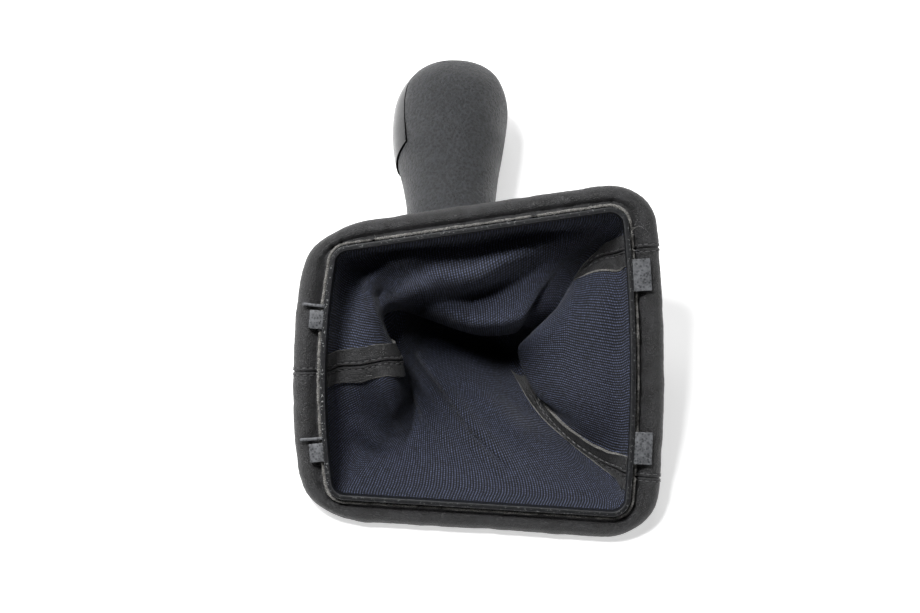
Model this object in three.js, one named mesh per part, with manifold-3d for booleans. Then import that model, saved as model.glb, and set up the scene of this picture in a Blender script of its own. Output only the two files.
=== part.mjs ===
// Gear lever gaiter with its base frame and knob, lying on a table as if just lifted out of the car:
// the open base frame leans back on its lower edge, and the bag and the knob lie behind it.
// Millimetres, +Z up. The car's rear is -X, its front +X, and the lever points along +Y.
import * as THREE from "three";
import { mergeVertices } from "three/addons/utils/BufferGeometryUtils.js";
import Module from "manifold-3d";

// Mouth of the base frame: a rounded quadrilateral, seen square on, whose left-hand side lies low.
const MOUTH_LOW_SIDE = 117.3;
const MOUTH_REAR_SIDE = 97.6;
const MOUTH_FRONT_SIDE = 121.1;
const REAR_LEAN = 2.5;
const FRONT_LEAN = 3.8;
const REAR_BULGE = 4;
const FRONT_BULGE = 3;
const MOUTH_CORNER_RADIUS = 5.5;
const FRAME_LEAN_BACK = 30;

// Base frame section: a collar round the mouth, and a flange with a rounded outer bead.
const COLLAR_WALL = 2;
const COLLAR_RISE = 7.5;
const FLANGE_BACK = 2.4;
const FLANGE_FACE = 0.2;
const BEAD_RISE = 3.1;
const FLANGE_REACH_ENDS = 12.2;
const FLANGE_REACH_SIDES = 9.8;
const LOW_SIDE_HOLLOW = 0.4;

// Clips that the collar carries: two broad tongues at the front, two ribbed blocks at the rear.
const TONGUE_WIDTH = 13;
const TONGUE_REACH = 7.4;
const TONGUE_THICKNESS = 1.6;
const TONGUE_FROM_CORNER = 20.6;
const RIB_THICKNESS = 1.2;
const RIB_REACH = 9;
const BLOCK_WIDTH = 7.6;
const BLOCK_REACH = 5.6;
const BLOCK_GAP = 1.2;
const RIB_FROM_MIDDLE = 26.5;

// Leather sheet, its seams, and the clearance between touching pieces.
const LEATHER = 1.2;
const SEAM_ALLOWANCE = 6.5;
const SEAM_GAP = 0.4;
const RAW_EDGE_RISE = 4.6;
const CLEARANCE = 0.3;
const FRONT_SEAM_HIGH_FROM_CORNER = 10;
const FRONT_SEAM_LOW_FROM_CORNER = 9;

// Knob: grip, cap, core and the lever's socket, all on one axis along +Y.
const KNOB_LENGTH = 93.5;
const KNOB_WIDTH = 50.2;
const KNOB_DEPTH = 48;
const KNOB_SKIN = 3;
const KNOB_TO_MOUTH = 109;
const KNOB_OFFSET = -19.9;
const SPIGOT_RADIUS = 14.2;
const SPIGOT_LENGTH = 13;
const SOCKET_RADIUS = 6.5;
const SOCKET_DEPTH = 58;
const BUSH_WALL = 1.3;

// Neck of the gaiter: a ring that plugs on the spigot, the leather over it, and a tie outside.
const NECK_RING_WALL = 1.5;
const NECK_RING_LENGTH = 11;
const TIE_WALL = 1.6;
const TIE_WIDTH = 5;

const wasm = await Module();
wasm.setup();

const degrees = THREE.MathUtils.degToRad;
const lean = degrees(FRAME_LEAN_BACK);

// Splines: a cubic through the values at uneven knots, over one period if it closes on itself.
function slopeAt(knots, values, k) {
  const before = knots[k] - knots[k - 1];
  const after = knots[k + 1] - knots[k];
  return values[k].map((value, axis) => {
    const rising = (value - values[k - 1][axis]) / before;
    const leaving = (values[k + 1][axis] - value) / after;
    return (rising * after + leaving * before) / (before + after);
  });
}

function cubicThrough(knots, values, place, k) {
  const span = knots[k + 1] - knots[k];
  const t = (place - knots[k]) / span;
  const startSlope = slopeAt(knots, values, k);
  const endSlope = slopeAt(knots, values, k + 1);
  const startShare = (1 + 2 * t) * (1 - t) ** 2;
  const endShare = t * t * (3 - 2 * t);
  return values[k].map((start, axis) => startShare * start + endShare * values[k + 1][axis]
    + span * t * (1 - t) * ((1 - t) * startSlope[axis] - t * endSlope[axis]));
}

// The outline is walked clockwise as the eye sees the open mouth: rear side, high side, front side,
// low side, each followed by its round corner. Its origin is the middle of the low side.
const rearLow = new THREE.Vector2(-MOUTH_LOW_SIDE / 2, 0);
const frontLow = new THREE.Vector2(MOUTH_LOW_SIDE / 2, 0);
const rearHigh = rearLow.clone().add(leaning(MOUTH_REAR_SIDE, REAR_LEAN));
const frontHigh = frontLow.clone().add(leaning(MOUTH_FRONT_SIDE, FRONT_LEAN));

function leaning(length, angle) {
  return new THREE.Vector2(-Math.sin(degrees(angle)), Math.cos(degrees(angle))).multiplyScalar(length);
}

function straightSide(from, to) {
  const along = to.clone().sub(from).normalize();
  return { from, along, outward: new THREE.Vector2(-along.y, along.x) };
}

function bulgedSide(from, to, bulge) {
  const chord = from.distanceTo(to);
  const radius = (chord * chord / 4 + bulge * bulge) / (2 * bulge);
  const side = straightSide(from, to);
  const centre = from.clone().lerp(to, 0.5).addScaledVector(side.outward, bulge - radius);
  return { centre, radius };
}

// Centre of the round corner between a straight side and a bulged one: it lies one corner radius
// inside both, and of the two such places it is the one nearer to the sharp corner.
function cornerCentre(line, arc, sharpCorner) {
  const start = line.from.clone().addScaledVector(line.outward, -MOUTH_CORNER_RADIUS);
  const toStart = start.clone().sub(arc.centre);
  const half = toStart.dot(line.along);
  const rest = toStart.lengthSq() - (arc.radius - MOUTH_CORNER_RADIUS) ** 2;
  const root = Math.sqrt(half * half - rest);
  const places = [-half - root, -half + root].map((t) => start.clone().addScaledVector(line.along, t));
  places.sort((a, b) => a.distanceTo(sharpCorner) - b.distanceTo(sharpCorner));
  return places[0];
}

function arcStretch(centre, radius, startAngle, endAngle) {
  const turn = THREE.MathUtils.euclideanModulo(startAngle - endAngle, 2 * Math.PI);
  const outwardAt = (share) => {
    const angle = startAngle - turn * share;
    return new THREE.Vector2(Math.cos(angle), Math.sin(angle));
  };
  const at = (share, reach) => centre.clone().addScaledVector(outwardAt(share), radius + reach);
  return { length: radius * turn, outwardAt, at };
}

function lineStretch(from, to, outward) {
  const at = (share, reach) => from.clone().lerp(to, share).addScaledVector(outward, reach);
  return { length: from.distanceTo(to), outwardAt: () => outward, at };
}

function mouthOutline() {
  const rear = bulgedSide(rearLow, rearHigh, REAR_BULGE);
  const high = straightSide(rearHigh, frontHigh);
  const front = bulgedSide(frontHigh, frontLow, FRONT_BULGE);
  const low = straightSide(frontLow, rearLow);
  const corners = [
    cornerCentre(high, rear, rearHigh),
    cornerCentre(high, front, frontHigh),
    cornerCentre(low, front, frontLow),
    cornerCentre(low, rear, rearLow),
  ];
  const angleTo = (corner, side) => corner.clone().sub(side.centre).angle();
  const onLine = (corner, side) => corner.clone().addScaledVector(side.outward, MOUTH_CORNER_RADIUS);
  const rearAngles = [angleTo(corners[3], rear), angleTo(corners[0], rear)];
  const frontAngles = [angleTo(corners[1], front), angleTo(corners[2], front)];
  const highAngle = high.outward.angle();
  const lowAngle = low.outward.angle();
  const radius = MOUTH_CORNER_RADIUS;
  return [
    arcStretch(rear.centre, rear.radius, rearAngles[0], rearAngles[1]),
    arcStretch(corners[0], radius, rearAngles[1], highAngle),
    lineStretch(onLine(corners[0], high), onLine(corners[1], high), high.outward),
    arcStretch(corners[1], radius, highAngle, frontAngles[0]),
    arcStretch(front.centre, front.radius, frontAngles[0], frontAngles[1]),
    arcStretch(corners[2], radius, frontAngles[1], lowAngle),
    lineStretch(onLine(corners[2], low), onLine(corners[3], low), low.outward),
    arcStretch(corners[3], radius, lowAngle, rearAngles[0]),
  ];
}

// Places on the outline are distances walked along it. A place named 2.5 is half way along the
// third stretch, which is the high side.
const outline = mouthOutline();
const stretchStarts = [0];
outline.forEach((stretch) => stretchStarts.push(stretchStarts.at(-1) + stretch.length));
const perimeter = stretchStarts.at(-1);

function walked(place) {
  const lap = Math.floor(place / outline.length) * perimeter;
  const within = THREE.MathUtils.euclideanModulo(place, outline.length);
  const index = Math.floor(within);
  return lap + stretchStarts[index] + (within - index) * outline[index].length;
}

function stretchAt(distance) {
  const around = THREE.MathUtils.euclideanModulo(distance, perimeter);
  const index = Math.max(0, stretchStarts.findLastIndex((start) => start <= around));
  const stretch = outline[Math.min(index, outline.length - 1)];
  return { index, stretch, share: (around - stretchStarts[index]) / stretch.length };
}

function onOutline(distance, reach) {
  const { stretch, share } = stretchAt(distance);
  return stretch.at(share, reach);
}

// The flange reaches further out at the front and rear, and changes over each round corner. The low
// side is slightly hollow between its corners, so the frame stands on the table near them.
const LOW_SIDE = 6;

function flangeReach(distance) {
  const { index, share } = stretchAt(distance);
  const blend = THREE.MathUtils.smoothstep(share, 0, 1);
  const narrowing = [0, blend, 1, 1 - blend, 0, blend, 1, 1 - blend][index];
  const hollow = index === LOW_SIDE ? LOW_SIDE_HOLLOW * 4 * share * (1 - share) : 0;
  return THREE.MathUtils.lerp(FLANGE_REACH_ENDS, FLANGE_REACH_SIDES, narrowing) - hollow;
}

// Stations round the outline: how many steps each stretch is cut into. The sheet keeps every
// station of the frame under it, so that both bend at the same places.
const FRAME_STEPS = [7, 4, 1, 4, 6, 4, 4, 4];
const SHEET_STEPS = [7, 4, 8, 4, 6, 4, 8, 4];

function stationsAround(stepsPerStretch) {
  return stepsPerStretch.flatMap((steps, stretch) =>
    Array.from({ length: steps }, (_, k) => walked(stretch + k / steps)));
}

// Section of the frame as [reach outward, rise towards the eye]. The bead's points are shares of
// the flange's width, with rises in millimetres: its round back, crown and fall to the edge.
const BEAD = [[0.22, 0.5], [0.42, 1.9], [0.62, BEAD_RISE], [0.82, 2.7], [0.95, 1.4], [1, -0.3],
  [0.95, -1.8], [0.84, -FLANGE_BACK]];

function beadPoints(reach) {
  const width = reach - COLLAR_WALL;
  return BEAD.map(([share, rise]) => [COLLAR_WALL + share * width, rise]);
}

function frameSection(reach) {
  const rounding = 0.5;
  return [
    [0, -FLANGE_BACK],
    [0, COLLAR_RISE - rounding],
    [rounding, COLLAR_RISE],
    [COLLAR_WALL - rounding, COLLAR_RISE],
    [COLLAR_WALL, COLLAR_RISE - rounding],
    [COLLAR_WALL, FLANGE_FACE],
    ...beadPoints(reach),
  ];
}

// Middle of the leather where it wraps the frame, from its raw edge beside the collar, over the
// bead and round to the back, where it leaves the flange behind the collar.
const leatherOff = CLEARANCE + LEATHER / 2;

function wrapPath(reach) {
  const bead = beadPoints(reach);
  const pushed = bead.slice(1, -1).map((point, k) => {
    const tangent = new THREE.Vector2(bead[k + 2][0] - bead[k][0], bead[k + 2][1] - bead[k][1]);
    const outward = new THREE.Vector2(-tangent.y, tangent.x).setLength(leatherOff);
    return [point[0] + outward.x, point[1] + outward.y];
  });
  const back = -FLANGE_BACK - leatherOff;
  const foot = COLLAR_WALL + leatherOff;
  return [
    [foot, RAW_EDGE_RISE],
    [foot + 0.1, FLANGE_FACE + leatherOff + 1],
    [bead[0][0], bead[0][1] + leatherOff + 0.1],
    ...pushed,
    [bead.at(-1)[0], back - 0.1],
    [(bead.at(-1)[0] + COLLAR_WALL) / 2, back - 0.1],
    [COLLAR_WALL, back - 0.2],
  ];
}

// The frame leans back and rests on the leather's lowest place under its low side.
const lowestUnderFrame = Math.min(...wrapPath(FLANGE_REACH_SIDES).map(([reach, rise]) =>
  -reach * Math.sin(lean) + rise * Math.cos(lean))) - LEATHER / 2;
const framePose = new THREE.Group();
framePose.rotation.x = lean;
framePose.position.z = -lowestUnderFrame;
framePose.updateMatrixWorld();
const toFrame = framePose.matrixWorld.clone().invert();

// Folds of the bag as the photo shows them from the mouth. Each rib starts under the collar at its
// place on the outline. Its points are shares of the low side's half length (from its middle) and
// of the front side's height, with millimetres behind the frame, on the way to the neck.
const FOLDS = [
  { name: "rear seam", place: 0.5,
    points: [[-1.05, 0.42, 9], [-0.88, 0.43, 10], [-0.72, 0.45, 11], [-0.63, 0.45, 17], [-0.72, 0.49, 31]] },
  { name: "rear, high", place: 0.8,
    points: [[-1.07, 0.63, 10], [-0.96, 0.64, 13], [-0.83, 0.64, 11], [-0.76, 0.59, 17], [-0.8, 0.6, 30]] },
  { name: "corner, rear high", place: 1.5,
    points: [[-1.03, 0.78, 11], [-0.93, 0.75, 13], [-0.83, 0.71, 10], [-0.72, 0.66, 20], [-0.67, 0.63, 32]] },
  { name: "high side, rear", place: 2.2,
    points: [[-0.65, 0.83, 12], [-0.64, 0.79, 10], [-0.61, 0.73, 14], [-0.57, 0.65, 27], [-0.56, 0.62, 36]] },
  { name: "high side, middle", place: 2.5,
    points: [[-0.12, 0.87, 13], [-0.11, 0.81, 10], [-0.11, 0.71, 19], [-0.09, 0.6, 21], [-0.09, 0.56, 30]] },
  { name: "high side, front", place: 2.75,
    points: [[0.33, 0.92, 13], [0.32, 0.87, 11], [0.28, 0.76, 18], [0.21, 0.63, 21], [0.14, 0.57, 30]] },
  { name: "corner, front high", place: 3.5,
    points: [[0.79, 0.93, 14], [0.72, 0.9, 18], [0.55, 0.83, 20], [0.35, 0.7, 23], [0.22, 0.6, 32]] },
  { name: "front seam, high", place: 4.09,
    points: [[0.86, 0.86, 13], [0.75, 0.84, 19], [0.6, 0.78, 24], [0.46, 0.66, 27], [0.33, 0.59, 34]] },
  { name: "front, high", place: 4.25,
    points: [[0.91, 0.74, 8], [0.75, 0.73, 9], [0.59, 0.68, 13], [0.3, 0.57, 22], [0.35, 0.56, 36]] },
  { name: "front, middle", place: 4.5,
    points: [[0.93, 0.5, 7], [0.78, 0.5, 8], [0.54, 0.5, 11], [0.22, 0.5, 23], [0.34, 0.5, 38]] },
  { name: "front, low", place: 4.75,
    points: [[0.95, 0.29, 7], [0.8, 0.31, 8], [0.59, 0.33, 12], [0.37, 0.36, 22], [0.37, 0.43, 38]] },
  { name: "front, fold beside the seam", place: 4.87,
    points: [[0.96, 0.19, 9], [0.85, 0.21, 12], [0.66, 0.25, 16], [0.46, 0.32, 25], [0.34, 0.39, 38]] },
  { name: "front seam, low", place: 4.94,
    points: [[0.96, 0.11, 13], [0.83, 0.13, 19], [0.63, 0.19, 24], [0.43, 0.27, 30], [0.27, 0.36, 41]] },
  { name: "corner, front low", place: 5.5,
    points: [[0.91, 0.04, 10], [0.8, 0.08, 17], [0.55, 0.17, 26], [0.28, 0.28, 34], [0.12, 0.42, 42]] },
  { name: "low side, front", place: 6.2,
    points: [[0.54, 0.02, 10], [0.47, 0.08, 16], [0.26, 0.2, 26], [0.06, 0.33, 35], [-0.03, 0.47, 43]] },
  { name: "low side, middle", place: 6.5,
    points: [[0, 0.03, 10], [-0.04, 0.09, 16], [-0.15, 0.22, 26], [-0.23, 0.34, 35], [-0.25, 0.48, 43]] },
  { name: "low side, rear", place: 6.8,
    points: [[-0.55, 0.03, 10], [-0.52, 0.1, 17], [-0.49, 0.21, 25], [-0.46, 0.33, 33], [-0.47, 0.47, 42]] },
  { name: "corner, rear low", place: 7.5,
    points: [[-0.95, 0.04, 11], [-0.83, 0.1, 18], [-0.66, 0.21, 20], [-0.55, 0.32, 25], [-0.55, 0.44, 37]] },
  { name: "rear, low", place: 8.2,
    points: [[-1.02, 0.21, 11], [-0.88, 0.24, 16], [-0.7, 0.28, 15], [-0.59, 0.34, 19], [-0.62, 0.44, 33]] },
];
const pointsPerFold = FOLDS[0].points.length;
const foldKnots = FOLDS.map((fold) => walked(fold.place));
const foldValues = FOLDS.map((fold) => fold.points.map(([along, up, behind]) =>
  [along * MOUTH_LOW_SIDE / 2, up * MOUTH_FRONT_SIDE * Math.cos(degrees(FRONT_LEAN)), -behind]));

// The same folds carried one step past both ends, so that the spline closes round the mouth.
const lapKnots = [
  ...foldKnots.slice(-2).map((knot) => knot - perimeter),
  ...foldKnots,
  ...foldKnots.slice(0, 3).map((knot) => knot + perimeter),
];
const lapValues = [...foldValues.slice(-2), ...foldValues, ...foldValues.slice(0, 3)];

function foldPoint(distance, which) {
  const lap = foldKnots[0];
  const around = lap + THREE.MathUtils.euclideanModulo(distance - lap, perimeter);
  const k = lapKnots.findLastIndex((knot) => knot <= around);
  return cubicThrough(lapKnots, lapValues.map((points) => points[which]), around, k);
}

// Neck: the bag's narrow end round the ring, its seams spread round it as they are round the mouth.
const knobAxisX = KNOB_OFFSET;
const knobAxisZ = KNOB_DEPTH / 2;
const knobStart = KNOB_TO_MOUTH;
const ringInner = SPIGOT_RADIUS + CLEARANCE;
const ringOuter = ringInner + NECK_RING_WALL;
const sleeveRadius = ringOuter + leatherOff;
const sleeveStart = knobStart - CLEARANCE - NECK_RING_LENGTH;

function neckPoint(distance, alongLever, radius) {
  const turn = 2 * Math.PI * (distance - walked(0.5)) / perimeter;
  const point = new THREE.Vector3(
    knobAxisX - radius * Math.cos(turn),
    alongLever,
    knobAxisZ + radius * Math.sin(turn),
  );
  return point.applyMatrix4(toFrame).toArray();
}

// One column of the bag's middle surface, from the raw edge to the neck's end. Its knots are whole
// numbers; the wrap is walked straight from knot to knot, and the bag on a cubic.
function columnAt(distance) {
  const wrap = wrapPath(flangeReach(distance)).map(([reach, rise]) => {
    const point = onOutline(distance, reach);
    return [point.x, point.y, rise];
  });
  const folds = Array.from({ length: pointsPerFold }, (_, which) => foldPoint(distance, which));
  const neck = [
    neckPoint(distance, sleeveStart, sleeveRadius),
    neckPoint(distance, knobStart - CLEARANCE, sleeveRadius),
  ];
  return { knots: [...wrap, ...folds, ...neck], wrapEnd: wrap.length - 1 };
}

function bagPoint(column, place) {
  const { knots, wrapEnd } = column;
  const k = Math.min(Math.floor(place), knots.length - 2);
  if (k < wrapEnd || k === knots.length - 2) {
    return new THREE.Vector3().fromArray(knots[k]).lerp(new THREE.Vector3().fromArray(knots[k + 1]), place - k);
  }
  const lengths = [0];
  for (let i = k; i <= k + 2; i += 1) {
    const step = new THREE.Vector3().fromArray(knots[i]).distanceTo(new THREE.Vector3().fromArray(knots[i - 1]));
    lengths.push(lengths.at(-1) + Math.sqrt(step));
  }
  const at = lengths[1] + (place - k) * (lengths[2] - lengths[1]);
  return new THREE.Vector3().fromArray(cubicThrough(lengths, knots.slice(k - 1, k + 3), at, 1));
}

// The bag lies on the table: what would sink below it is lifted straight up to it.
const tableUp = new THREE.Vector3(0, Math.sin(lean), Math.cos(lean));

function liftedOffTable(point) {
  const height = point.dot(tableUp) - lowestUnderFrame;
  const lowest = LEATHER / 2 + CLEARANCE;
  const softness = 5;
  const over = height - lowest;
  if (over > softness) return point;
  const lifted = over < -softness ? 0 : (over + softness) ** 2 / (4 * softness);
  return point.clone().addScaledVector(tableUp, lifted - over);
}

function bagSurface(distance, place) {
  const column = columnAt(distance);
  const point = bagPoint(column, place);
  return place > column.wrapEnd ? liftedOffTable(point) : point;
}

// Rows of the sheet, as places between a column's knots: one at each knot of the wrap, and more
// where the bag curves.
const wrapKnots = wrapPath(FLANGE_REACH_ENDS).length;
const BAG_STEPS = [2, 3, 2, 3, 3, 4, 1];
const sheetRows = Array.from({ length: wrapKnots }, (_, k) => k);
BAG_STEPS.forEach((steps, k) => {
  for (let step = 1; step <= steps; step += 1) sheetRows.push(wrapKnots - 1 + k + step / steps);
});

// Panels: a closed sheet between two seams. Along each seam its allowance is folded back inside,
// which doubles the leather there, and fades out before the neck.
const ALLOWANCE_STEP = 0.4;

function panelColumns(seamFrom, seamTo) {
  const nominalFirst = seamFrom + SEAM_ALLOWANCE + ALLOWANCE_STEP;
  const nominalLast = seamTo - SEAM_ALLOWANCE - ALLOWANCE_STEP;
  const between = stationsAround(SHEET_STEPS)
    .flatMap((station) => [station, station + perimeter])
    .filter((station) => station > nominalFirst + 1 && station < nominalLast - 1)
    .sort((a, b) => a - b);
  const middle = [nominalFirst, ...between, nominalLast]
    .map((station) => (station - nominalFirst) / (nominalLast - nominalFirst));
  return (row) => {
    const reachOf = (seam) => {
      const nudge = 0.5;
      const span = bagSurface(seam + nudge, row).distanceTo(bagSurface(seam - nudge, row));
      const perMillimetre = row < wrapKnots ? 1 : 2 * nudge / span;
      const widest = (seamTo - seamFrom) / 4;
      return {
        half: perMillimetre * SEAM_GAP / 2,
        band: Math.min(SEAM_ALLOWANCE * perMillimetre, widest),
        step: ALLOWANCE_STEP * perMillimetre,
      };
    };
    const start = reachOf(seamFrom);
    const end = reachOf(seamTo);
    const first = seamFrom + start.band + start.step;
    const last = seamTo - end.band - end.step;
    return [
      { at: seamFrom + start.half, folded: 1 },
      { at: seamFrom + start.band, folded: 1 },
      ...middle.map((share) => ({ at: THREE.MathUtils.lerp(first, last, share), folded: 0 })),
      { at: seamTo - end.band, folded: 1 },
      { at: seamTo - end.half, folded: 1 },
    ];
  };
}

// Which way the leather faces. Inside the bag the slope is taken over a few millimetres, so that
// the sheet's two faces stay apart in a tight valley.
function surfaceNormal(distance, place) {
  const nudge = place < wrapKnots - 1 ? 0.35 : 4;
  const last = sheetRows.at(-1);
  const before = Math.max(place - 0.09, 0);
  const after = Math.min(place + 0.09, last);
  const across = bagSurface(distance + nudge, place).sub(bagSurface(distance - nudge, place));
  const along = bagSurface(distance, after).sub(bagSurface(distance, before));
  return across.cross(along).normalize();
}

function panelGeometry(seamFrom, seamTo) {
  const columnsAt = panelColumns(seamFrom, seamTo);
  const fadeEnd = wrapKnots + pointsPerFold - 2.2;
  const outer = [];
  const inner = [];
  sheetRows.forEach((row) => {
    const inBag = row > wrapKnots - 0.9 ? 1 - THREE.MathUtils.smoothstep(row, fadeEnd - 1, fadeEnd) : 0;
    columnsAt(row).forEach(({ at, folded }) => {
      const middle = bagSurface(at, row);
      const normal = surfaceNormal(at, row);
      outer.push(middle.clone().addScaledVector(normal, LEATHER / 2));
      inner.push(middle.clone().addScaledVector(normal, -LEATHER / 2 - LEATHER * folded * inBag));
    });
  });
  return sheetBetween(outer, inner, columnsAt(0).length, sheetRows.length);
}

// A closed body between two grids of points, with their four edges joined by a strip of faces.
function sheetBetween(outer, inner, across, down) {
  const positions = [...outer, ...inner].flatMap((point) => point.toArray());
  const shift = outer.length;
  const faces = [];
  const quad = (a, b, c, d) => faces.push(a, b, c, a, c, d);
  for (let j = 0; j < down - 1; j += 1) {
    for (let i = 0; i < across - 1; i += 1) {
      const a = j * across + i;
      quad(a, a + 1, a + across + 1, a + across);
      quad(shift + a, shift + a + across, shift + a + across + 1, shift + a + 1);
    }
  }
  const edge = (a, b) => quad(b, a, shift + a, shift + b);
  for (let i = 0; i < across - 1; i += 1) {
    edge(i, i + 1);
    edge((down - 1) * across + i + 1, (down - 1) * across + i);
  }
  for (let j = 0; j < down - 1; j += 1) {
    edge((j + 1) * across, j * across);
    edge((j + 1) * across - 1, (j + 2) * across - 1);
  }
  const geometry = new THREE.BufferGeometry();
  geometry.setAttribute("position", new THREE.Float32BufferAttribute(positions, 3));
  geometry.setIndex(faces);
  return geometry;
}

// Joins and cuts of closed meshes.
function solid(geometry) {
  const bare = geometry.clone();
  bare.deleteAttribute("normal");
  bare.deleteAttribute("uv");
  const merged = mergeVertices(bare, 1e-4);
  return new wasm.Manifold(new wasm.Mesh({
    numProp: 3,
    vertProperties: merged.attributes.position.array,
    triVerts: new Uint32Array(merged.index.array),
  }));
}

function geometryOf(body) {
  const mesh = body.getMesh();
  const geometry = new THREE.BufferGeometry();
  geometry.setAttribute("position", new THREE.BufferAttribute(new Float32Array(mesh.vertProperties), 3));
  geometry.setIndex(new THREE.BufferAttribute(new Uint32Array(mesh.triVerts), 1));
  return geometry;
}

// Base frame: the section swept once round the mouth, with more steps where the outline bends.
function sweptFrame() {
  const stations = stationsAround(FRAME_STEPS);
  const positions = [];
  const faces = [];
  const around = stations.length;
  let points = 0;
  stations.forEach((distance) => {
    const section = frameSection(flangeReach(distance));
    points = section.length;
    section.forEach(([reach, rise]) => {
      const place = onOutline(distance, reach);
      positions.push(place.x, place.y, rise);
    });
  });
  for (let i = 0; i < around; i += 1) {
    const next = (i + 1) % around;
    for (let j = 0; j < points; j += 1) {
      const below = (j + 1) % points;
      faces.push(i * points + j, next * points + j, next * points + below);
      faces.push(i * points + j, next * points + below, i * points + below);
    }
  }
  const geometry = new THREE.BufferGeometry();
  geometry.setAttribute("position", new THREE.Float32BufferAttribute(positions, 3));
  geometry.setIndex(faces);
  return solid(geometry);
}

// A block rooted in the collar's wall that stands outward over the leather at a place on the outline.
function collarBlock(distance, width, reach, thickness, bottom) {
  const root = COLLAR_WALL / 2;
  const box = new THREE.BoxGeometry(width, reach + root, thickness);
  const { stretch, share } = stretchAt(distance);
  const outward = stretch.outwardAt(share);
  const centre = stretch.at(share, COLLAR_WALL + (reach - root) / 2);
  const turn = new THREE.Matrix4().makeRotationZ(outward.angle() - Math.PI / 2);
  turn.setPosition(centre.x, centre.y, bottom + thickness / 2);
  return solid(box.applyMatrix4(turn));
}

function baseFrame() {
  const overLeather = BEAD_RISE + 2 * leatherOff + 0.1;
  const ribRise = COLLAR_RISE - 0.6 - overLeather;
  const frontStart = walked(4);
  const frontEnd = walked(5);
  const rearMiddle = walked(0.5);
  let frame = sweptFrame();
  [frontStart + TONGUE_FROM_CORNER, frontEnd - TONGUE_FROM_CORNER].forEach((distance) => {
    frame = frame.add(collarBlock(distance, TONGUE_WIDTH, TONGUE_REACH, TONGUE_THICKNESS, overLeather));
  });
  [rearMiddle - RIB_FROM_MIDDLE, rearMiddle + RIB_FROM_MIDDLE].forEach((distance) => {
    const blockPlace = distance - RIB_THICKNESS / 2 - BLOCK_GAP - BLOCK_WIDTH / 2;
    frame = frame.add(collarBlock(distance, RIB_THICKNESS, RIB_REACH, ribRise, overLeather));
    frame = frame.add(collarBlock(blockPlace, BLOCK_WIDTH, BLOCK_REACH, TONGUE_THICKNESS, overLeather));
  });
  return geometryOf(frame);
}

// Knob: oval rings strung along +Y. Each station gives its share of the knob's length, the share of
// the full width and depth there, and how far the ring's middle leans to the rear.
const KNOB_STATIONS = [
  [0, 0.73, 0], [0.1, 0.735, 0.2], [0.2, 0.75, 0.6], [0.31, 0.8, 1.5], [0.41, 0.86, 2.6],
  [0.51, 0.935, 3.6], [0.61, 0.985, 4.1], [0.72, 1, 3.9], [0.8, 0.965, 3.4], [0.87, 0.87, 2.8],
  [0.925, 0.74, 2.2], [0.965, 0.54, 1.7], [0.99, 0.28, 1.3],
];
const KNOB_SIDES = 28;
const KNOB_ROUNDNESS = 2.2;

// The knob's outer body, or the same body drawn inward by an inset, with its foot carried down.
function knobBody(inset, footBelow) {
  const rings = KNOB_STATIONS.map(([share, fullness, leanBack], k) => {
    const y = knobStart + share * (KNOB_LENGTH - inset) - (k === 0 ? footBelow : 0);
    const shrink = Math.max(fullness * KNOB_WIDTH / 2 - inset, fullness);
    return { y, halfWidth: shrink, halfDepth: shrink * KNOB_DEPTH / KNOB_WIDTH, x: knobAxisX - leanBack };
  });
  const positions = [knobAxisX, rings[0].y, knobAxisZ];
  rings.forEach(({ y, halfWidth, halfDepth, x }) => {
    for (let i = 0; i < KNOB_SIDES; i += 1) {
      const angle = 2 * Math.PI * i / KNOB_SIDES;
      const rounding = (part) => Math.sign(part) * Math.abs(part) ** (2 / KNOB_ROUNDNESS);
      positions.push(x + halfWidth * rounding(Math.cos(angle)), y, knobAxisZ + halfDepth * rounding(Math.sin(angle)));
    }
  });
  positions.push(knobAxisX - KNOB_STATIONS.at(-1)[2], knobStart + KNOB_LENGTH - inset, knobAxisZ);
  const faces = [];
  const top = 1 + rings.length * KNOB_SIDES;
  const vertex = (ring, i) => 1 + ring * KNOB_SIDES + (i % KNOB_SIDES);
  for (let i = 0; i < KNOB_SIDES; i += 1) {
    faces.push(0, vertex(0, i), vertex(0, i + 1));
    faces.push(top, vertex(rings.length - 1, i + 1), vertex(rings.length - 1, i));
    for (let ring = 0; ring < rings.length - 1; ring += 1) {
      faces.push(vertex(ring, i), vertex(ring + 1, i), vertex(ring + 1, i + 1));
      faces.push(vertex(ring, i), vertex(ring + 1, i + 1), vertex(ring, i + 1));
    }
  }
  const geometry = new THREE.BufferGeometry();
  geometry.setAttribute("position", new THREE.Float32BufferAttribute(positions, 3));
  geometry.setIndex(faces);
  return solid(geometry);
}

// Edge of the face cap, seen from above: shares of the knob's length, and millimetres that it lies
// rearward of the axis. The cap is all of the knob's wall beyond this edge.
const CAP_EDGE = [
  [0.41, 34], [0.425, 27], [0.47, 21.2], [0.59, 23], [0.7, 23.8], [0.79, 23.3], [0.85, 21.4],
  [0.925, 17.2], [0.98, 10], [1.03, 5],
];

function capSide(shift) {
  const points = CAP_EDGE.map(([share, rearward]) =>
    new THREE.Vector2(knobAxisX - rearward + shift, knobStart + share * KNOB_LENGTH - shift));
  const far = knobAxisX - KNOB_WIDTH;
  points.push(new THREE.Vector2(far, points.at(-1).y), new THREE.Vector2(far, points[0].y));
  const thickness = KNOB_DEPTH * 1.5;
  const prism = new THREE.ExtrudeGeometry(new THREE.Shape(points), { depth: thickness, bevelEnabled: false });
  prism.translate(0, 0, knobAxisZ - thickness / 2);
  return solid(prism);
}

// A round sleeve or bar about the knob's axis, between two places along it.
function axisTurned(profile) {
  const lathe = new THREE.LatheGeometry(profile.map(([radius, y]) => new THREE.Vector2(radius, y)), KNOB_SIDES);
  lathe.translate(knobAxisX, 0, knobAxisZ);
  return solid(lathe);
}

function sleeve(inner, outer, from, to) {
  return axisTurned([[inner, from], [outer, from], [outer, to], [inner, to], [inner, from]]);
}

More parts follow.
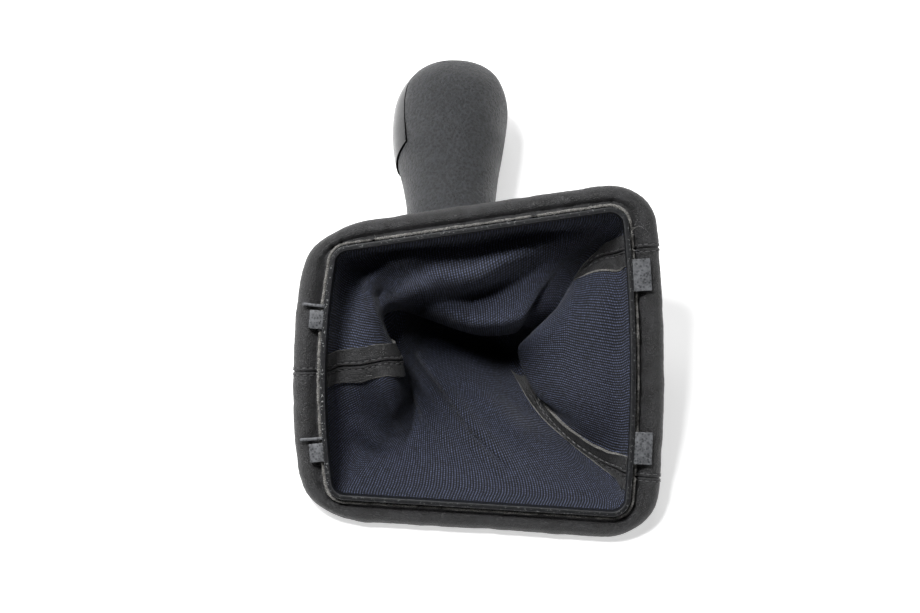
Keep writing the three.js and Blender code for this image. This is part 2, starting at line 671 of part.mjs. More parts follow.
function bar(radius, from, to) {
  return axisTurned([[0, from], [radius, from], [radius, to], [0, to]]);
}

const spigotEnd = knobStart - SPIGOT_LENGTH;
const reachIn = 2;

function knobGrip() {
  const hollow = knobBody(KNOB_SKIN, reachIn);
  return geometryOf(knobBody(0, 0).subtract(hollow).subtract(capSide(CLEARANCE)));
}

function knobFaceCap() {
  return geometryOf(knobBody(0, 0).intersect(capSide(0)).subtract(knobBody(KNOB_SKIN, reachIn)));
}

function knobCore() {
  const spigot = bar(SPIGOT_RADIUS, spigotEnd, knobStart + reachIn);
  const socket = bar(SOCKET_RADIUS, spigotEnd - reachIn, spigotEnd + SOCKET_DEPTH);
  return geometryOf(knobBody(KNOB_SKIN + CLEARANCE, 0).add(spigot).subtract(socket));
}

function leverBush() {
  const outer = SOCKET_RADIUS - CLEARANCE;
  return geometryOf(sleeve(outer - BUSH_WALL, outer, spigotEnd, spigotEnd + SOCKET_DEPTH - CLEARANCE));
}

function neckRing() {
  return geometryOf(sleeve(ringInner, ringOuter, sleeveStart, knobStart - CLEARANCE));
}

function neckTie() {
  const inner = sleeveRadius + LEATHER / 2 + CLEARANCE;
  const middle = (sleeveStart + knobStart) / 2;
  return geometryOf(sleeve(inner, inner + TIE_WALL, middle - TIE_WIDTH / 2, middle + TIE_WIDTH / 2));
}

// Assembly. Colours are the photo's: near-black leather, plastics of black and dark grey.
function piece(name, geometry, color, roughness, metalness = 0) {
  const mesh = new THREE.Mesh(geometry, new THREE.MeshStandardMaterial({ color, roughness, metalness }));
  mesh.name = name;
  return mesh;
}

const rearSeam = walked(0.5);
const frontSeamHigh = walked(4) + FRONT_SEAM_HIGH_FROM_CORNER;
const frontSeamLow = walked(5) - FRONT_SEAM_LOW_FROM_CORNER;

framePose.add(
  piece("base_frame", baseFrame(), 0x232426, 0.55),
  piece("gaiter_right_side_panel", panelGeometry(rearSeam, frontSeamHigh), 0x1c1d1f, 0.6),
  piece("gaiter_front_panel", panelGeometry(frontSeamHigh, frontSeamLow), 0x1c1d1f, 0.6),
  piece("gaiter_left_side_panel", panelGeometry(frontSeamLow, rearSeam + perimeter), 0x1c1d1f, 0.6),
);

const group = new THREE.Group();
group.add(
  framePose,
  piece("knob_grip", knobGrip(), 0x2e2f31, 0.75),
  piece("knob_face_cap", knobFaceCap(), 0x1a1b1d, 0.35),
  piece("knob_core", knobCore(), 0x3a3a3c, 0.6),
  piece("lever_bush", leverBush(), 0x8e8f92, 0.4, 1),
  piece("neck_ring", neckRing(), 0x202124, 0.6),
  piece("neck_tie", neckTie(), 0x151618, 0.5),
);

// The part stands on its own middle: the origin is the centre of its box, on the table.
group.updateMatrixWorld(true);
const box = new THREE.Box3().setFromObject(group, true);
const centre = box.getCenter(new THREE.Vector3());
group.position.set(-centre.x, -centre.y, -box.min.z);

export default group;
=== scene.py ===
import math

import bmesh
import bpy
import numpy as np
from mathutils import Matrix, Vector


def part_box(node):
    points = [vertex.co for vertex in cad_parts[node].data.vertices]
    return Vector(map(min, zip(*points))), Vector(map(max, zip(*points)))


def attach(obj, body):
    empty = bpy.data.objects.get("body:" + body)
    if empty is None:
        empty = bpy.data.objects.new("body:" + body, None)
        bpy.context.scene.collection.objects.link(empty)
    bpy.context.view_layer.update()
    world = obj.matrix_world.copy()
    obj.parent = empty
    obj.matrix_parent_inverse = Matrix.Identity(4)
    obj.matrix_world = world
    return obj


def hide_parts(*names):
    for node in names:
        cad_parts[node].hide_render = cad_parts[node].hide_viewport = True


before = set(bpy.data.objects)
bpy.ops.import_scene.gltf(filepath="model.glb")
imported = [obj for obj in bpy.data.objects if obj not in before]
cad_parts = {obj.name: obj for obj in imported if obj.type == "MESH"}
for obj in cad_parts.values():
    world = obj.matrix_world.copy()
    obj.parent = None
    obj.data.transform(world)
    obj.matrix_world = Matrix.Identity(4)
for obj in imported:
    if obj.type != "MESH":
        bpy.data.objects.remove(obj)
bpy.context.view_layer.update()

MM = 0.001

# Base frame: one ABS moulding, injection moulded in black, which carries the gaiter and clips into
# the centre console. A collar stands round the mouth, and a flange with a round outer bead lies
# under the leather. Lengths are in millimetres, in the frame's own plane.
MOUTH_LOW_SIDE, MOUTH_REAR_SIDE, MOUTH_FRONT_SIDE = 117.3, 97.6, 121.1
REAR_LEAN, FRONT_LEAN, FRAME_LEAN_BACK = map(math.radians, (2.5, 3.8, 30))
REAR_BULGE, FRONT_BULGE, CORNER_RADIUS = 4, 3, 5.5
COLLAR_WALL, COLLAR_RISE = 2, 7.5
FLANGE_BACK, FLANGE_FACE, BEAD_RISE = 2.4, 0.2, 3.1
REACH_ENDS, REACH_SIDES, LOW_SIDE_HOLLOW = 12.2, 9.8, 0.4
TONGUE_WIDTH, TONGUE_REACH, TONGUE_THICKNESS, TONGUE_FROM_CORNER = 13, 7.4, 1.6, 20.6
RIB_THICKNESS, RIB_REACH, RIB_FROM_MIDDLE, RIB_BELOW_RIM = 1.2, 9, 26.5, 0.6
BLOCK_WIDTH, BLOCK_REACH, BLOCK_GAP = 7.6, 5.6, 1.2
LEATHER, CLEARANCE = 1.2, 0.3
# How far the flange is drawn in at the middle of each corner, and over what length of its outer
# edge: the stretches of the outline are counted from 0, and the odd ones are the corners.
CORNER_DRAWN_IN, DRAWN_OVER = {1: 3.0, 3: 0.6, 5: 1.8, 7: 2.8}, 21


def side_arc(start, end, bulge):
    """A side that bulges outward: centre and radius of the circle through both ends whose middle
    stands off the chord by the bulge."""
    chord = np.linalg.norm(end - start)
    radius = (chord ** 2 / 4 + bulge ** 2) / (2 * bulge)
    along = (end - start) / chord
    outward = np.array([-along[1], along[0]])
    return (start + end) / 2 + outward * (bulge - radius), radius


def corner_centre(line_start, line_end, arc, sharp):
    """Centre of a round corner: the place one corner radius inside both the straight side and the
    bulged one, nearest to the sharp corner."""
    along = (line_end - line_start) / np.linalg.norm(line_end - line_start)
    outward = np.array([-along[1], along[0]])
    start = line_start - outward * CORNER_RADIUS
    to_start = start - arc[0]
    half = to_start @ along
    root = math.sqrt(half ** 2 - to_start @ to_start + (arc[1] - CORNER_RADIUS) ** 2)
    return min((start + along * (-half + sign * root) for sign in (-1, 1)),
               key=lambda place: np.linalg.norm(place - sharp))


def mouth_outline():
    """Eight stretches walked clockwise from the low rear corner: rear side, high side, front side,
    low side, each followed by its corner. A stretch is an arc (centre, radius, first angle, turn)
    or a line (start, end, outward)."""
    rear_low = np.array([-MOUTH_LOW_SIDE / 2, 0])
    front_low = np.array([MOUTH_LOW_SIDE / 2, 0])
    rear_high = rear_low + MOUTH_REAR_SIDE * np.array([-math.sin(REAR_LEAN), math.cos(REAR_LEAN)])
    front_high = front_low + MOUTH_FRONT_SIDE * np.array([-math.sin(FRONT_LEAN), math.cos(FRONT_LEAN)])
    rear = side_arc(rear_low, rear_high, REAR_BULGE)
    front = side_arc(front_high, front_low, FRONT_BULGE)
    corners = [
        corner_centre(rear_high, front_high, rear, rear_high),
        corner_centre(rear_high, front_high, front, front_high),
        corner_centre(front_low, rear_low, front, front_low),
        corner_centre(front_low, rear_low, rear, rear_low),
    ]
    along = (front_high - rear_high) / np.linalg.norm(front_high - rear_high)
    high_out = np.array([-along[1], along[0]])
    low_out = np.array([0.0, -1.0])

    def angle(vector):
        return math.atan2(vector[1], vector[0])

    def arc(centre, radius, first, last):
        return {"centre": centre, "radius": radius, "first": first, "turn": (first - last) % (2 * math.pi)}

    def line(start, end, outward):
        return {"start": start, "end": end, "outward": outward}

    rear_angles = [angle(corners[3] - rear[0]), angle(corners[0] - rear[0])]
    front_angles = [angle(corners[1] - front[0]), angle(corners[2] - front[0])]
    radius = CORNER_RADIUS
    stretches = [
        arc(*rear, *rear_angles),
        arc(corners[0], radius, rear_angles[1], angle(high_out)),
        line(corners[0] + high_out * radius, corners[1] + high_out * radius, high_out),
        arc(corners[1], radius, angle(high_out), front_angles[0]),
        arc(*front, *front_angles),
        arc(corners[2], radius, front_angles[1], angle(low_out)),
        line(corners[2] + low_out * radius, corners[3] + low_out * radius, low_out),
        arc(corners[3], radius, angle(low_out), rear_angles[0]),
    ]
    for stretch in stretches:
        if "radius" in stretch:
            stretch["length"] = stretch["radius"] * stretch["turn"]
        else:
            stretch["length"] = np.linalg.norm(stretch["end"] - stretch["start"])
    return stretches


STRETCHES = mouth_outline()
STARTS = np.concatenate([[0], np.cumsum([stretch["length"] for stretch in STRETCHES])])
PERIMETER = STARTS[-1]
LOW_SIDE = 6


def walked(place):
    """Distance along the outline of a place such as 2.5, half way along the third stretch."""
    lap, within = divmod(place, len(STRETCHES))
    index = int(within)
    return lap * PERIMETER + STARTS[index] + (within - index) * STRETCHES[index]["length"]


def stretch_at(distance):
    """The stretch that each distance walked along the outline falls on, and the share of its length
    that lies before that place."""
    around = np.mod(distance, PERIMETER)
    index = np.clip(np.searchsorted(STARTS, around, side="right") - 1, 0, len(STRETCHES) - 1)
    share = (around - STARTS[index]) / (STARTS[index + 1] - STARTS[index])
    return index, share


def outline(distance):
    """Points of the mouth's edge and outward directions at distances walked along it."""
    index, share = stretch_at(distance)
    points = np.zeros(distance.shape + (2,))
    outward = np.zeros(distance.shape + (2,))
    for k, stretch in enumerate(STRETCHES):
        here = index == k
        if "radius" in stretch:
            turned = stretch["first"] - stretch["turn"] * share[here]
            outward[here] = np.stack([np.cos(turned), np.sin(turned)], -1)
            points[here] = stretch["centre"] + outward[here] * stretch["radius"]
        else:
            points[here] = stretch["start"] + share[here, None] * (stretch["end"] - stretch["start"])
            outward[here] = stretch["outward"]
    return points, outward


def flange_reach(distance):
    """Reach of the flange: long at the ends, short at the sides, changing smoothly at corners, and
    on the low side less by a parabola that is deepest half way along. At each corner it is less by
    the square of a cosine of the way from the corner's middle, walked on the outer edge, which is
    three times as long there."""
    index, share = stretch_at(distance)
    blend = share * share * (3 - 2 * share)
    narrowing = np.choose(index, [0 * blend, blend, 1 + 0 * blend, 1 - blend] * 2)
    hollow = np.where(index == LOW_SIDE, LOW_SIDE_HOLLOW * 4 * share * (1 - share), 0)
    drawn = 0
    for corner, depth in CORNER_DRAWN_IN.items():
        off = np.abs(np.mod(distance - walked(corner + 0.5) + PERIMETER / 2, PERIMETER) - PERIMETER / 2)
        off = off + 2 * np.minimum(off, STRETCHES[corner]["length"] / 2)
        drawn = drawn + depth * np.cos(math.pi / 2 * np.minimum(off / DRAWN_OVER, 1)) ** 2
    return REACH_ENDS + (REACH_SIDES - REACH_ENDS) * narrowing - hollow - drawn


# The bead's section beside the collar: shares of the flange's width, and rises.
BEAD = np.array([[0.22, 0.5], [0.42, 1.9], [0.62, BEAD_RISE], [0.82, 2.7], [0.95, 1.4], [1, -0.3],
                 [0.95, -1.8], [0.84, -FLANGE_BACK]])
lean_cos, lean_sin = math.cos(FRAME_LEAN_BACK), math.sin(FRAME_LEAN_BACK)


def leant(points):
    """Points of the frame's plane (along, up, towards the eye) turned to lean back on the table."""
    along, up, rise = np.moveaxis(points, -1, 0)
    return np.stack([along, up * lean_cos - rise * lean_sin, up * lean_sin + rise * lean_cos], -1)


def cubic(knots, values, places):
    """Cubic through the values at uneven knots: each slope is the mean of the two chords beside it,
    weighted by the other's span. Knots run along the last axis but one of the values."""
    spans = np.diff(knots, axis=-1)
    chords = np.diff(values, axis=-2) / spans[..., None]
    before, after = spans[..., :-1, None], spans[..., 1:, None]
    inner = (chords[..., :-1, :] * after + chords[..., 1:, :] * before) / (before + after)
    slopes = np.concatenate([chords[..., :1, :], inner, chords[..., -1:, :]], -2)
    k = np.clip((knots[..., None] <= places[..., None, :]).sum(-2) - 1, 0, knots.shape[-1] - 2)

    def pick(array, index):
        return np.take_along_axis(array, index, -1)

    def pick_point(array, index):
        return np.take_along_axis(array, index[..., None], -2)

    span = pick(spans, k)
    t = ((places - pick(knots, k)) / span)[..., None]
    span = span[..., None]
    return ((1 + 2 * t) * (1 - t) ** 2 * pick_point(values, k)
            + t * t * (3 - 2 * t) * pick_point(values, k + 1)
            + span * t * (1 - t) * ((1 - t) * pick_point(slopes, k) - t * pick_point(slopes, k + 1)))


def mesh_object(name, points, faces, smooth=True):
    """A piece at the origin with its place in its mesh; points come in metres."""
    mesh = bpy.data.meshes.new(name)
    mesh.from_pydata(points.reshape(-1, 3).tolist(), [], faces.tolist())
    mesh.polygons.foreach_set("use_smooth", np.full(len(mesh.polygons), smooth))
    mesh.update()
    piece = bpy.data.objects.new(name, mesh)
    bpy.context.scene.collection.objects.link(piece)
    return piece


def grid_faces(rows, columns, wrap_rows=False, wrap_columns=False):
    """Quads between neighbouring grid points, closing round either way where asked."""
    i, j = np.meshgrid(np.arange(rows - (not wrap_rows)), np.arange(columns - (not wrap_columns)),
                       indexing="ij")
    down, right = (i + 1) % rows, (j + 1) % columns
    return np.stack([i * columns + j, i * columns + right, down * columns + right,
                     down * columns + j], -1).reshape(-1, 4)


def rounded_collar(rounding=0.5, steps=5):
    """The collar's section, walked from the mouth side over its rim: straight walls joined by two
    quarter circles of the rounding radius."""
    half_way, shoulder = COLLAR_RISE / 2, COLLAR_RISE - 1.2
    turn = np.linspace(0, math.pi / 2, steps)
    first = np.stack([rounding * (1 - np.cos(turn)), COLLAR_RISE - rounding * (1 - np.sin(turn))], -1)
    second = np.stack([COLLAR_WALL - rounding * (1 - np.sin(turn)),
                       COLLAR_RISE - rounding * (1 - np.cos(turn))], -1)
    return np.concatenate([
        [[0, -FLANGE_BACK], [0, 0], [0, half_way], [0, shoulder]],
        first,
        [[COLLAR_WALL / 2, COLLAR_RISE]],
        second,
        [[COLLAR_WALL, shoulder], [COLLAR_WALL, half_way], [COLLAR_WALL, FLANGE_FACE]],
    ])


def frame_section(reach):
    """The collar's section, then the bead as a cubic through its points, for each reach."""
    width = (reach - COLLAR_WALL)[:, None]
    collar = rounded_collar()
    collar = np.broadcast_to(collar, (len(reach),) + collar.shape)
    knots = np.arange(float(len(BEAD)))
    share, rise = cubic(knots, BEAD, np.linspace(0, knots[-1], 4 * len(BEAD))).T
    bead = np.stack([COLLAR_WALL + share * width, rise + 0 * width], -1)
    return np.concatenate([collar, bead], 1)


def stations(steps_per_stretch):
    """Distances round the mouth, evenly cut in each stretch."""
    return np.concatenate([np.linspace(STARTS[k], STARTS[k + 1], steps, endpoint=False)
                           for k, steps in enumerate(steps_per_stretch)])


def swept(distance, section):
    """The section's points (reach, rise) carried to their places round the mouth."""
    points, outward = outline(distance)
    flat = points[..., None, :] + outward[..., None, :] * section[..., :1]
    return np.concatenate([flat, section[..., 1:]], -1)


around_frame = stations([64, 16, 60, 16, 70, 16, 64, 16])
frame_points = swept(around_frame, frame_section(flange_reach(around_frame)))

# The frame's place follows from its packed box, which its flange fills whatever its clips.
leant_frame = leant(frame_points).reshape(-1, 3)
FRAME_ORIGIN = (np.array(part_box("base_frame")).mean(0) / MM
                - (leant_frame.min(0) + leant_frame.max(0)) / 2)


def placed(points):
    """Millimetres in the frame's plane to metres in the shared frame."""
    return (leant(points) + FRAME_ORIGIN) * MM


def joined(name, parts, smooth_angle=40):
    """One piece from several (points, list of faces) in metres, smooth except at edges sharper than
    an angle in degrees."""
    points = np.concatenate([points for points, _ in parts])
    faces = []
    shift = 0
    for part_points, part_faces in parts:
        faces += [[corner + shift for corner in face] for face in part_faces]
        shift += len(part_points)
    mesh = bpy.data.meshes.new(name)
    mesh.from_pydata(points.tolist(), [], faces)
    mesh.polygons.foreach_set("use_smooth", np.ones(len(mesh.polygons), bool))
    mesh.update()
    piece = bpy.data.objects.new(name, mesh)
    bpy.context.scene.collection.objects.link(piece)
    with bpy.context.temp_override(object=piece, active_object=piece, selected_objects=[piece],
                                   selected_editable_objects=[piece]):
        bpy.ops.object.shade_smooth_by_angle(angle=math.radians(smooth_angle))
    return piece


def rounded_block(distance, width, reach, thickness, bottom, rounding=0.35):
    """A block rooted in the collar that stands outward over the leather: each of its six sides is a
    grid whose outermost points are drawn in, so that the edges are round."""
    root = COLLAR_WALL / 2
    half = np.array([width, reach + root, thickness]) / 2
    middle, outward = (part[0] for part in outline(np.array([distance])))
    along = np.array([outward[1], -outward[0]])
    middle = middle + outward * (COLLAR_WALL + (reach - root) / 2)
    cut = np.array([-1, -1, -0.98, -0.93, 0, 0.93, 0.98, 1, 1])
    u, v = np.meshgrid(cut, cut, indexing="ij")
    faces = grid_faces(len(cut), len(cut))
    parts = []
    for axis in range(3):
        for side in (-1, 1):
            local = np.insert(np.stack([u, v * side], -1), axis, side, axis=-1)
            inner = np.clip(local * half, rounding - half, half - rounding)
            off = local * half - inner
            off /= np.maximum(np.linalg.norm(off, axis=-1, keepdims=True), 1e-9)
            shape = inner + off * rounding
            flat = middle + shape[..., :1] * along + shape[..., 1:2] * outward
            points = np.concatenate([flat, shape[..., 2:] + bottom + thickness / 2], -1)
            wound = faces[:, ::-1] if axis == 1 else faces
            parts.append((placed(points).reshape(-1, 3), wound.tolist()))
    return parts


# The clips' undersides stand clear of the leather where it passes over the bead.
over_leather = BEAD_RISE + LEATHER + 2 * CLEARANCE + 0.1
clips = []
for place in (walked(4) + TONGUE_FROM_CORNER, walked(5) - TONGUE_FROM_CORNER):
    clips += rounded_block(place, TONGUE_WIDTH, TONGUE_REACH, TONGUE_THICKNESS, over_leather)
for place in (walked(0.5) - RIB_FROM_MIDDLE, walked(0.5) + RIB_FROM_MIDDLE):
    block_place = place - RIB_THICKNESS / 2 - BLOCK_GAP - BLOCK_WIDTH / 2
    clips += rounded_block(place, RIB_THICKNESS, RIB_REACH, COLLAR_RISE - RIB_BELOW_RIM - over_leather,
                           over_leather)
    clips += rounded_block(block_place, BLOCK_WIDTH, BLOCK_REACH, TONGUE_THICKNESS, over_leather)

ring = np.swapaxes(frame_points, 0, 1)
frame_piece = joined("frame_moulding", [
    (placed(ring).reshape(-1, 3), grid_faces(*ring.shape[:2], wrap_rows=True, wrap_columns=True).tolist()),
    *clips,
])
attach(frame_piece, "root")
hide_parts("base_frame")


def srgb(hex_colour):
    """A six-figure sRGB hex colour as linear red, green, blue and full alpha."""
    channels = np.array([int(hex_colour[k:k + 2], 16) for k in (1, 3, 5)]) / 255
    linear = np.where(channels <= 0.04045, channels / 12.92, ((channels + 0.055) / 1.055) ** 2.4)
    return (*linear, 1)


def feed(fed, inputs):
    """Links or sets the inputs of a node: a socket is linked, and a plain value is set."""
    for key, value in inputs.items():
        if isinstance(value, bpy.types.NodeSocket):
            fed.id_data.links.new(value, fed.inputs[key])
        else:
            fed.inputs[key].default_value = value


def node(tree, kind, inputs, output=0, **settings):
    """Adds a shader node with its settings and inputs, and gives one of its outputs. Math numbers its
    inputs from 0. Map Range takes a value, the two ends it lies between and the two it goes to. Mix
    takes its factor at 0 and its colours at 6 and 7."""
    made = tree.nodes.new("ShaderNode" + kind)
    for name, value in settings.items():
        setattr(made, name, value)
    feed(made, inputs)
    return made.outputs[output]


def finish_of(name):
    """A new material: gives it, its tree and its Principled shader."""
    made = bpy.data.materials.new(name)
    made.use_nodes = True
    return made, made.node_tree, made.node_tree.nodes["Principled BSDF"]


# Moulded black ABS: satin, with a fine spark-eroded grain of 0.3 mm. The edges of its rim are painted grey,
# partly as scuffs and partly as a painted highlight, and its flat top carries pale specks of the glue that
# held the leather.
abs_black, tree, shader = finish_of("moulded black ABS")
place = node(tree, "TexCoord", {}, "Object")
grain = node(tree, "TexNoise", {"Vector": place, "Scale": 1 / (0.3 * MM), "Detail": 2.0})
scuffs = node(tree, "TexNoise", {"Vector": place, "Scale": 1 / (2.5 * MM), "Detail": 6.0, "Roughness": 0.7})
specks = node(tree, "TexVoronoi", {"Vector": place, "Scale": 1 / (1.1 * MM)}, "Distance")
rim = node(tree, "Attribute", {}, "Fac", attribute_name="rim")
worn_and_highlit = node(tree, "MapRange", {0: scuffs, 1: 0.35, 2: 0.65, 3: 0.45, 4: 1.0})
worn_and_highlit = node(tree, "Math", {0: rim, 1: worn_and_highlit}, operation="MULTIPLY")
dotted = node(tree, "MapRange", {0: specks, 1: 0.2, 2: 0.55, 3: 0.35, 4: 1.0})
worn_and_highlit = node(tree, "Math", {0: worn_and_highlit, 1: dotted}, operation="MULTIPLY")
colour = node(tree, "Mix", {0: worn_and_highlit, 6: srgb("#0e0f12"), 7: srgb("#808286")}, 2, data_type="RGBA")
glued = node(tree, "Attribute", {}, "Fac", attribute_name="glued")
dabs = node(tree, "TexNoise", {"Vector": place, "Scale": 1 / (0.8 * MM), "Detail": 2.0})
dabs = node(tree, "MapRange", {0: dabs, 1: 0.62, 2: 0.67, 3: 0.0, 4: 1.0})
dabs = node(tree, "Math", {0: dabs, 1: glued}, operation="MULTIPLY")
colour = node(tree, "Mix", {0: dabs, 6: colour, 7: srgb("#a9abab")}, 2, data_type="RGBA")
dull = node(tree, "MapRange", {0: scuffs, 1: 0.3, 2: 0.7, 3: 0.42, 4: 0.6})
height = node(tree, "Math", {0: grain, 1: dotted}, operation="ADD")
bump = node(tree, "Bump", {"Height": height, "Strength": 0.35, "Distance": 0.1 * MM})
feed(shader, {"IOR": 1.53, "Specular IOR Level": 0.3, "Base Color": colour, "Roughness": dull,
              "Normal": bump})
frame_piece.data.materials.append(abs_black)

# Paleness of the eleven points over the collar's rim: paler at both edges, partly scuffs and partly a painted
# highlight, and with glue on the flat top and the outer wall, most of all on the rear side. The clips are
# made paler all over.
RUBBED_AND_HIGHLIT = np.array([0.05, 0.15, 0.3, 0.15, 0.05, 0.02, 0.03, 0.06, 0.2, 0.2, 0.1])
GLUED = np.array([0, 0, 0, 0.1, 0.6, 1, 1, 1, 1, 1, 0.9])
RIM_STARTS, GLUED_ALONG_REAR = 4, 38
clip_points = sum(len(points) for points, _ in clips)
rear_share = np.exp(-((around_frame - walked(0.5)) / GLUED_ALONG_REAR) ** 2)
for attribute_name, profile, along_share, clip_share in (
        ("rim", RUBBED_AND_HIGHLIT, np.ones(len(around_frame)), 0.9),
        ("glued", GLUED, 0.4 + 0.6 * rear_share, 0.2)):
    values = np.zeros(ring.shape[:2])
    values[RIM_STARTS:RIM_STARTS + len(profile)] = profile[:, None] * along_share
    attribute = frame_piece.data.attributes.new(attribute_name, "FLOAT", "POINT")
    attribute.data.foreach_set("value", np.concatenate([values.ravel(), np.full(clip_points, clip_share)]))


# Gaiter: three tapered panels of 1.2 mm black leather with a woven navy lining bonded inside, sewn
# into a sleeve. Their mouth ends are pulled over the flange and glued beside the collar, and the bag
# hangs behind the mouth in folds, with each seam's allowances laid open and sewn down inside.
SEAM_ALLOWANCE, RAW_EDGE_RISE, STITCH_FROM_SEAM = 6.5, 4.6, 1.4
LEATHER_OFF, FULLER_BY_COLLAR = CLEARANCE + LEATHER / 2, 1.6
KNOB_LENGTH, KNOB_WIDTH, KNOB_DEPTH, KNOB_TO_MOUTH, KNOB_OFFSET = 93.5, 50.2, 48, 109, -19.9
SPIGOT_RADIUS, NECK_RING_WALL, NECK_RING_LENGTH = 14.2, 1.5, 11
REAR_SEAM = walked(0.5)
SEAM_HIGH, SEAM_LOW = walked(4) + 10, walked(5) - 9

# Each fold starts at a place on the outline. Its five points are shares of the low side's half
# length and of the front side's height, with millimetres behind the mouth.
FOLDS = [
    (0.5, [[-1.05, 0.42, 9], [-0.88, 0.43, 10], [-0.72, 0.45, 11], [-0.63, 0.45, 17], [-0.72, 0.49, 31]]),
    (0.8, [[-1.07, 0.63, 10], [-0.96, 0.64, 13], [-0.83, 0.64, 11], [-0.76, 0.59, 17], [-0.8, 0.6, 30]]),
    (1.5, [[-1.03, 0.78, 11], [-0.93, 0.75, 13], [-0.83, 0.71, 10], [-0.72, 0.66, 20], [-0.67, 0.63, 32]]),
    (2.2, [[-0.65, 0.83, 12], [-0.64, 0.79, 10], [-0.61, 0.73, 14], [-0.57, 0.65, 27], [-0.56, 0.62, 36]]),
    (2.5, [[-0.12, 0.87, 13], [-0.11, 0.81, 10], [-0.11, 0.71, 19], [-0.09, 0.6, 21], [-0.09, 0.56, 30]]),
    (2.75, [[0.33, 0.92, 13], [0.32, 0.87, 11], [0.28, 0.76, 18], [0.21, 0.63, 21], [0.14, 0.57, 30]]),
    (3.5, [[0.79, 0.93, 14], [0.72, 0.9, 18], [0.55, 0.83, 20], [0.35, 0.7, 23], [0.22, 0.6, 32]]),
    (4.09, [[0.86, 0.86, 13], [0.75, 0.84, 19], [0.6, 0.78, 24], [0.46, 0.66, 27], [0.33, 0.59, 34]]),
    (4.25, [[0.91, 0.74, 8], [0.75, 0.73, 9], [0.59, 0.68, 13], [0.3, 0.57, 22], [0.35, 0.56, 36]]),
    (4.5, [[0.93, 0.5, 7], [0.78, 0.5, 8], [0.54, 0.5, 11], [0.22, 0.5, 23], [0.34, 0.5, 38]]),
    (4.75, [[0.95, 0.29, 7], [0.8, 0.31, 8], [0.59, 0.33, 12], [0.37, 0.36, 22], [0.37, 0.43, 38]]),
    (4.87, [[0.96, 0.19, 9], [0.85, 0.21, 12], [0.66, 0.25, 16], [0.46, 0.32, 25], [0.34, 0.39, 38]]),
    (4.94, [[0.96, 0.11, 13], [0.83, 0.13, 19], [0.63, 0.19, 24], [0.43, 0.27, 30], [0.27, 0.36, 41]]),
    (5.5, [[0.91, 0.04, 10], [0.8, 0.08, 17], [0.55, 0.17, 26], [0.28, 0.28, 34], [0.12, 0.42, 42]]),
    (6.2, [[0.54, 0.02, 10], [0.47, 0.08, 16], [0.26, 0.2, 26], [0.06, 0.33, 35], [-0.03, 0.47, 43]]),
    (6.5, [[0, 0.03, 10], [-0.04, 0.09, 16], [-0.15, 0.22, 26], [-0.23, 0.34, 35], [-0.25, 0.48, 43]]),
    (6.8, [[-0.55, 0.03, 10], [-0.52, 0.1, 17], [-0.49, 0.21, 25], [-0.46, 0.33, 33], [-0.47, 0.47, 42]]),
    (7.5, [[-0.95, 0.04, 11], [-0.83, 0.1, 18], [-0.66, 0.21, 20], [-0.55, 0.32, 25], [-0.55, 0.44, 37]]),
    (8.2, [[-1.02, 0.21, 11], [-0.88, 0.24, 16], [-0.7, 0.28, 15], [-0.59, 0.34, 19], [-0.62, 0.44, 33]]),
]
fold_knots = np.array([walked(place) for place, _ in FOLDS])
fold_values = (np.array([points for _, points in FOLDS], float)
               * [MOUTH_LOW_SIDE / 2, MOUTH_FRONT_SIDE * math.cos(FRONT_LEAN), -1])
lap_knots = np.concatenate([fold_knots[-2:] - PERIMETER, fold_knots, fold_knots[:3] + PERIMETER])
lap_values = np.concatenate([fold_values[-2:], fold_values, fold_values[:3]]).reshape(len(lap_knots), -1)


def ripple(along, waves, seed):
    """A smooth uneven line about zero: the mean of sines of the given wavelengths, each with its
    own seeded phase."""
    phases = np.random.default_rng(seed).uniform(0, 2 * math.pi, len(waves))
    return sum(np.sin(2 * math.pi * along / wave + phase) for wave, phase in zip(waves, phases)) / len(waves)


def wrap_path(distance):
    """Middle of the leather round the flange: up beside the collar to its uneven raw edge, over the
    bead at half a thickness plus the clearance, and round behind to the collar's foot. Beside the
    collar it is fuller where the flange is short."""
    width = (flange_reach(distance) - COLLAR_WALL)[..., None]
    bead = np.stack([COLLAR_WALL + BEAD[:, 0] * width, BEAD[:, 1] + 0 * width], -1)
    tangent = bead[..., 2:, :] - bead[..., :-2, :]
    outward = np.stack([-tangent[..., 1], tangent[..., 0]], -1)
    outward /= np.linalg.norm(outward, axis=-1, keepdims=True)
    pushed = bead[..., 1:-1, :] + outward * LEATHER_OFF
    back = -FLANGE_BACK - LEATHER_OFF
    foot = COLLAR_WALL + LEATHER_OFF
    edge = np.maximum(ripple(distance, [61, 23, 9.7, 4.1], 3), -0.8) * 1.1
    filled = (REACH_ENDS - flange_reach(distance)) / (REACH_ENDS - REACH_SIDES)
    filled = FULLER_BY_COLLAR * np.clip(filled, 0, 1)
    ones = np.ones(distance.shape)
    last = bead[..., -1, 0]

    def knot(reach, rise):
        return np.stack([reach * ones, rise * ones], -1)[..., None, :]

    return np.concatenate([
        knot(foot + 0.15 * edge, RAW_EDGE_RISE + edge),
        knot(foot + 0.1, FLANGE_FACE + LEATHER_OFF + 1 + filled),
        knot(bead[..., 0, 0], bead[..., 0, 1] + LEATHER_OFF + 0.1 + filled),
        pushed,
        knot(last, back - 0.1),
        knot((last + COLLAR_WALL) / 2, back - 0.1),
        knot(COLLAR_WALL, back - 0.2),
    ], -2)


WRAP_KNOTS = wrap_path(np.zeros(1)).shape[-2]
COLUMN_KNOTS = WRAP_KNOTS + fold_values.shape[1] + 2
SLEEVE_RADIUS = SPIGOT_RADIUS + CLEARANCE + NECK_RING_WALL + LEATHER_OFF
on_table = np.array([0, lean_sin, lean_cos])


def unleant(points):
    """Points of the table's frame, with the mouth's low side as origin, back in the mouth's plane."""
    along, away, up = np.moveaxis(points, -1, 0)
    return np.stack([along, away * lean_cos + up * lean_sin, up * lean_cos - away * lean_sin], -1)


